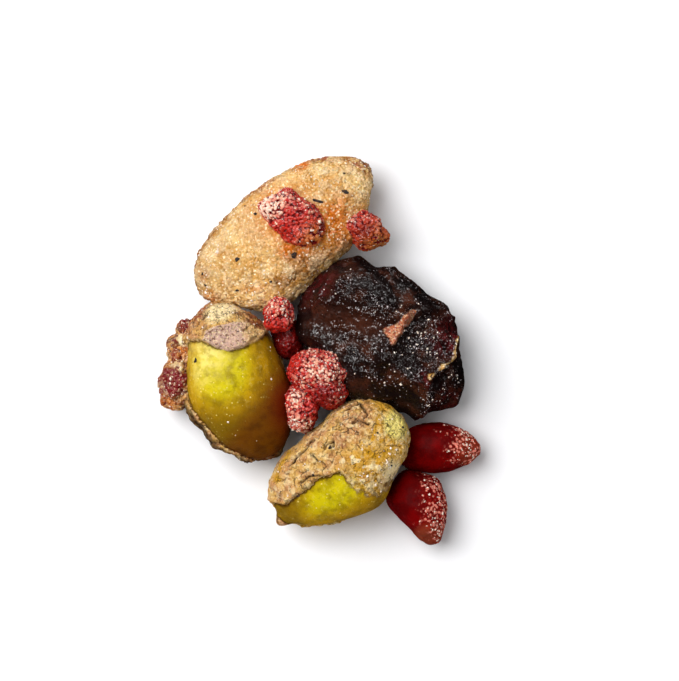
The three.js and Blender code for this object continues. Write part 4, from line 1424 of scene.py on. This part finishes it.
class SNACKMIX_OT_sugar(bpy.types.Operator):
    """Scatter sugar crystals where the pieces ask for them"""

    bl_idname = "snackmix.sugar"
    bl_label = "Sugar crystals"

    count: bpy.props.IntProperty(name="Crystals", description="How many crystals", default=1500, min=1)

    def execute(self, context):
        rng = np.random.default_rng(SUGAR_SEED)
        meshes = [piece for piece in bpy.data.objects if piece.type == "MESH"]
        parts = [surface_of(piece) for piece in meshes if "sugar_here" in piece.data.attributes]
        if not parts:
            raise RuntimeError("build the pieces before the sugar")
        points, normals, wanted = (np.concatenate(column) for column in zip(*parts))
        share = np.clip(wanted, 0, None)
        chosen = rng.choice(len(points), size=self.count, replace=False, p=share / share.sum())
        widths = sizes().crystal / MM * rng.lognormal(0, 0.35, self.count)
        points, faces = octahedra(points[chosen], normals[chosen], widths, 0.8, rng)
        points = within_solids(points)
        piece = mesh_piece("sugar_crystals", points, faces, {}, sugar_material(), slot="fruit_crumb")
        piece.data.shade_flat()
        return {"FINISHED"}


class SNACKMIX_OT_pepper(bpy.types.Operator):
    """Set pepper flecks on the nuts"""

    bl_idname = "snackmix.pepper"
    bl_label = "Pepper"

    def execute(self, context):
        rng = np.random.default_rng(PEPPER_SEED)
        centres, facing, spans = [], [], []
        for name, wanted in PEPPER.items():
            points, normals, _ = surface_of(bpy.data.objects[name])
            for x, y, *span in wanted:
                far = np.hypot(points[:, 0] - x, points[:, 1] - y) + 9 * (normals[:, 2] < 0)
                nearest = far.argmin()
                centres.append(points[nearest])
                facing.append(normals[nearest])
                spans.append(span)
        points, faces = flecks(np.array(centres), np.array(facing), np.array(spans), rng)
        piece = mesh_piece("pepper_flecks", points, faces, {}, pepper_material(), slot="seasoning")
        piece.data.shade_flat()
        return {"FINISHED"}


FLOOR_HALF = 0.6  # metres from the middle of the floor to its edge
# Soft boxes: place, side in metres and power in watts. The key light gives the soft light and the shadows,
# and the other two give only reflections.
KEY_LIGHT = ((-0.27, 0.17, 0.5), 0.5, 4.6)
SHINE_LIGHTS = {"glint_light": ((-0.24, 0.21, 0.5), 0.2, 6.0), "rim_light": ((0.3, 0.4, 0.2), 0.12, 1.5)}
ROOM_LIGHT = 0.4
CAMERA_HEIGHT = 0.6  # metres above the floor: far enough for a nearly parallel view
VIEW_WIDE = 0.0783  # metres shown along the picture's long side, at the middle of the heap
VIEW_CENTRE = (0.00236, 0.00104)
MIDDLE_Z = 0.0055


class SNACKMIX_OT_stage(bpy.types.Operator):
    """Add the floor, the lights and the camera straight above"""

    bl_idname = "snackmix.stage"
    bl_label = "Floor, lights and camera"

    def execute(self, context):
        scene = context.scene
        corners = [(x * FLOOR_HALF, y * FLOOR_HALF, FLOOR_Z) for x, y in ((-1, -1), (1, -1), (1, 1), (-1, 1))]
        mesh = bpy.data.meshes.new("pale_floor")
        mesh.from_pydata(corners, [], [(0, 1, 2, 3)])
        mesh.materials.append(floor_material())
        floor = bpy.data.objects.new("pale_floor", mesh)
        scene.collection.objects.link(floor)
        floor.visible_glossy = False
        self.add_light(scene, "key_light", *KEY_LIGHT).visible_glossy = False
        for name, light in SHINE_LIGHTS.items():
            self.add_light(scene, name, *light).visible_diffuse = False
        world = bpy.data.worlds.new("pale_room")
        world.use_nodes = True
        background = world.node_tree.nodes["Background"]
        background.inputs["Color"].default_value = (1.0, 1.0, 1.0, 1.0)
        background.inputs["Strength"].default_value = ROOM_LIGHT
        scene.world = world
        world.cycles_visibility.glossy = False
        scene.view_settings.view_transform = "Standard"
        camera_data = bpy.data.cameras.new("camera_above")
        camera_data.lens = camera_data.sensor_width * (CAMERA_HEIGHT - MIDDLE_Z) / VIEW_WIDE
        camera_data.clip_start = 0.05
        camera = bpy.data.objects.new("camera_above", camera_data)
        camera.location = (*VIEW_CENTRE, CAMERA_HEIGHT)
        scene.collection.objects.link(camera)
        scene.camera = camera
        return {"FINISHED"}

    def add_light(self, scene, name, place, size, power):
        """A square soft box at a place, turned towards the heap."""
        data = bpy.data.lights.new(name, "AREA")
        data.size = size
        data.energy = power
        light = bpy.data.objects.new(name, data)
        light.location = place
        light.rotation_euler = (-light.location).to_track_quat("-Z", "Y").to_euler()
        scene.collection.objects.link(light)
        return light


class SNACKMIX_PT_panel(bpy.types.Panel):
    """Lists the pieces of the heap"""

    bl_label = "Snack mix"
    bl_space_type = "VIEW_3D"
    bl_region_type = "UI"
    bl_category = "Snack mix"

    def draw(self, context):
        for operator in OPERATORS:
            self.layout.operator(operator.bl_idname)
        for group in (context.scene.snack_mix_sizes, context.scene.snack_mix_colours):
            box = self.layout.box()
            for name in group.bl_rna.properties.keys():
                if name not in ("name", "rna_type"):
                    box.prop(group, name)


OPERATORS = (
    SNACKMIX_OT_stage,
    SNACKMIX_OT_pistachios,
    SNACKMIX_OT_almond,
    SNACKMIX_OT_cherry,
    SNACKMIX_OT_drops,
    SNACKMIX_OT_crumbs,
    SNACKMIX_OT_clump,
    SNACKMIX_OT_sugar,
    SNACKMIX_OT_pepper,
)
CLASSES = (SnackMixColours, SnackMixSizes, *OPERATORS, SNACKMIX_PT_panel)


def register():
    for cls in CLASSES:
        bpy.utils.register_class(cls)
    bpy.types.Scene.snack_mix_colours = bpy.props.PointerProperty(type=SnackMixColours)
    bpy.types.Scene.snack_mix_sizes = bpy.props.PointerProperty(type=SnackMixSizes)


def unregister():
    del bpy.types.Scene.snack_mix_sizes
    del bpy.types.Scene.snack_mix_colours
    for cls in reversed(CLASSES):
        bpy.utils.unregister_class(cls)


def main():
    register()
    for operator in OPERATORS:
        section, name = operator.bl_idname.split(".")
        getattr(getattr(bpy.ops, section), name)()


if __name__ == "__main__":
    main()
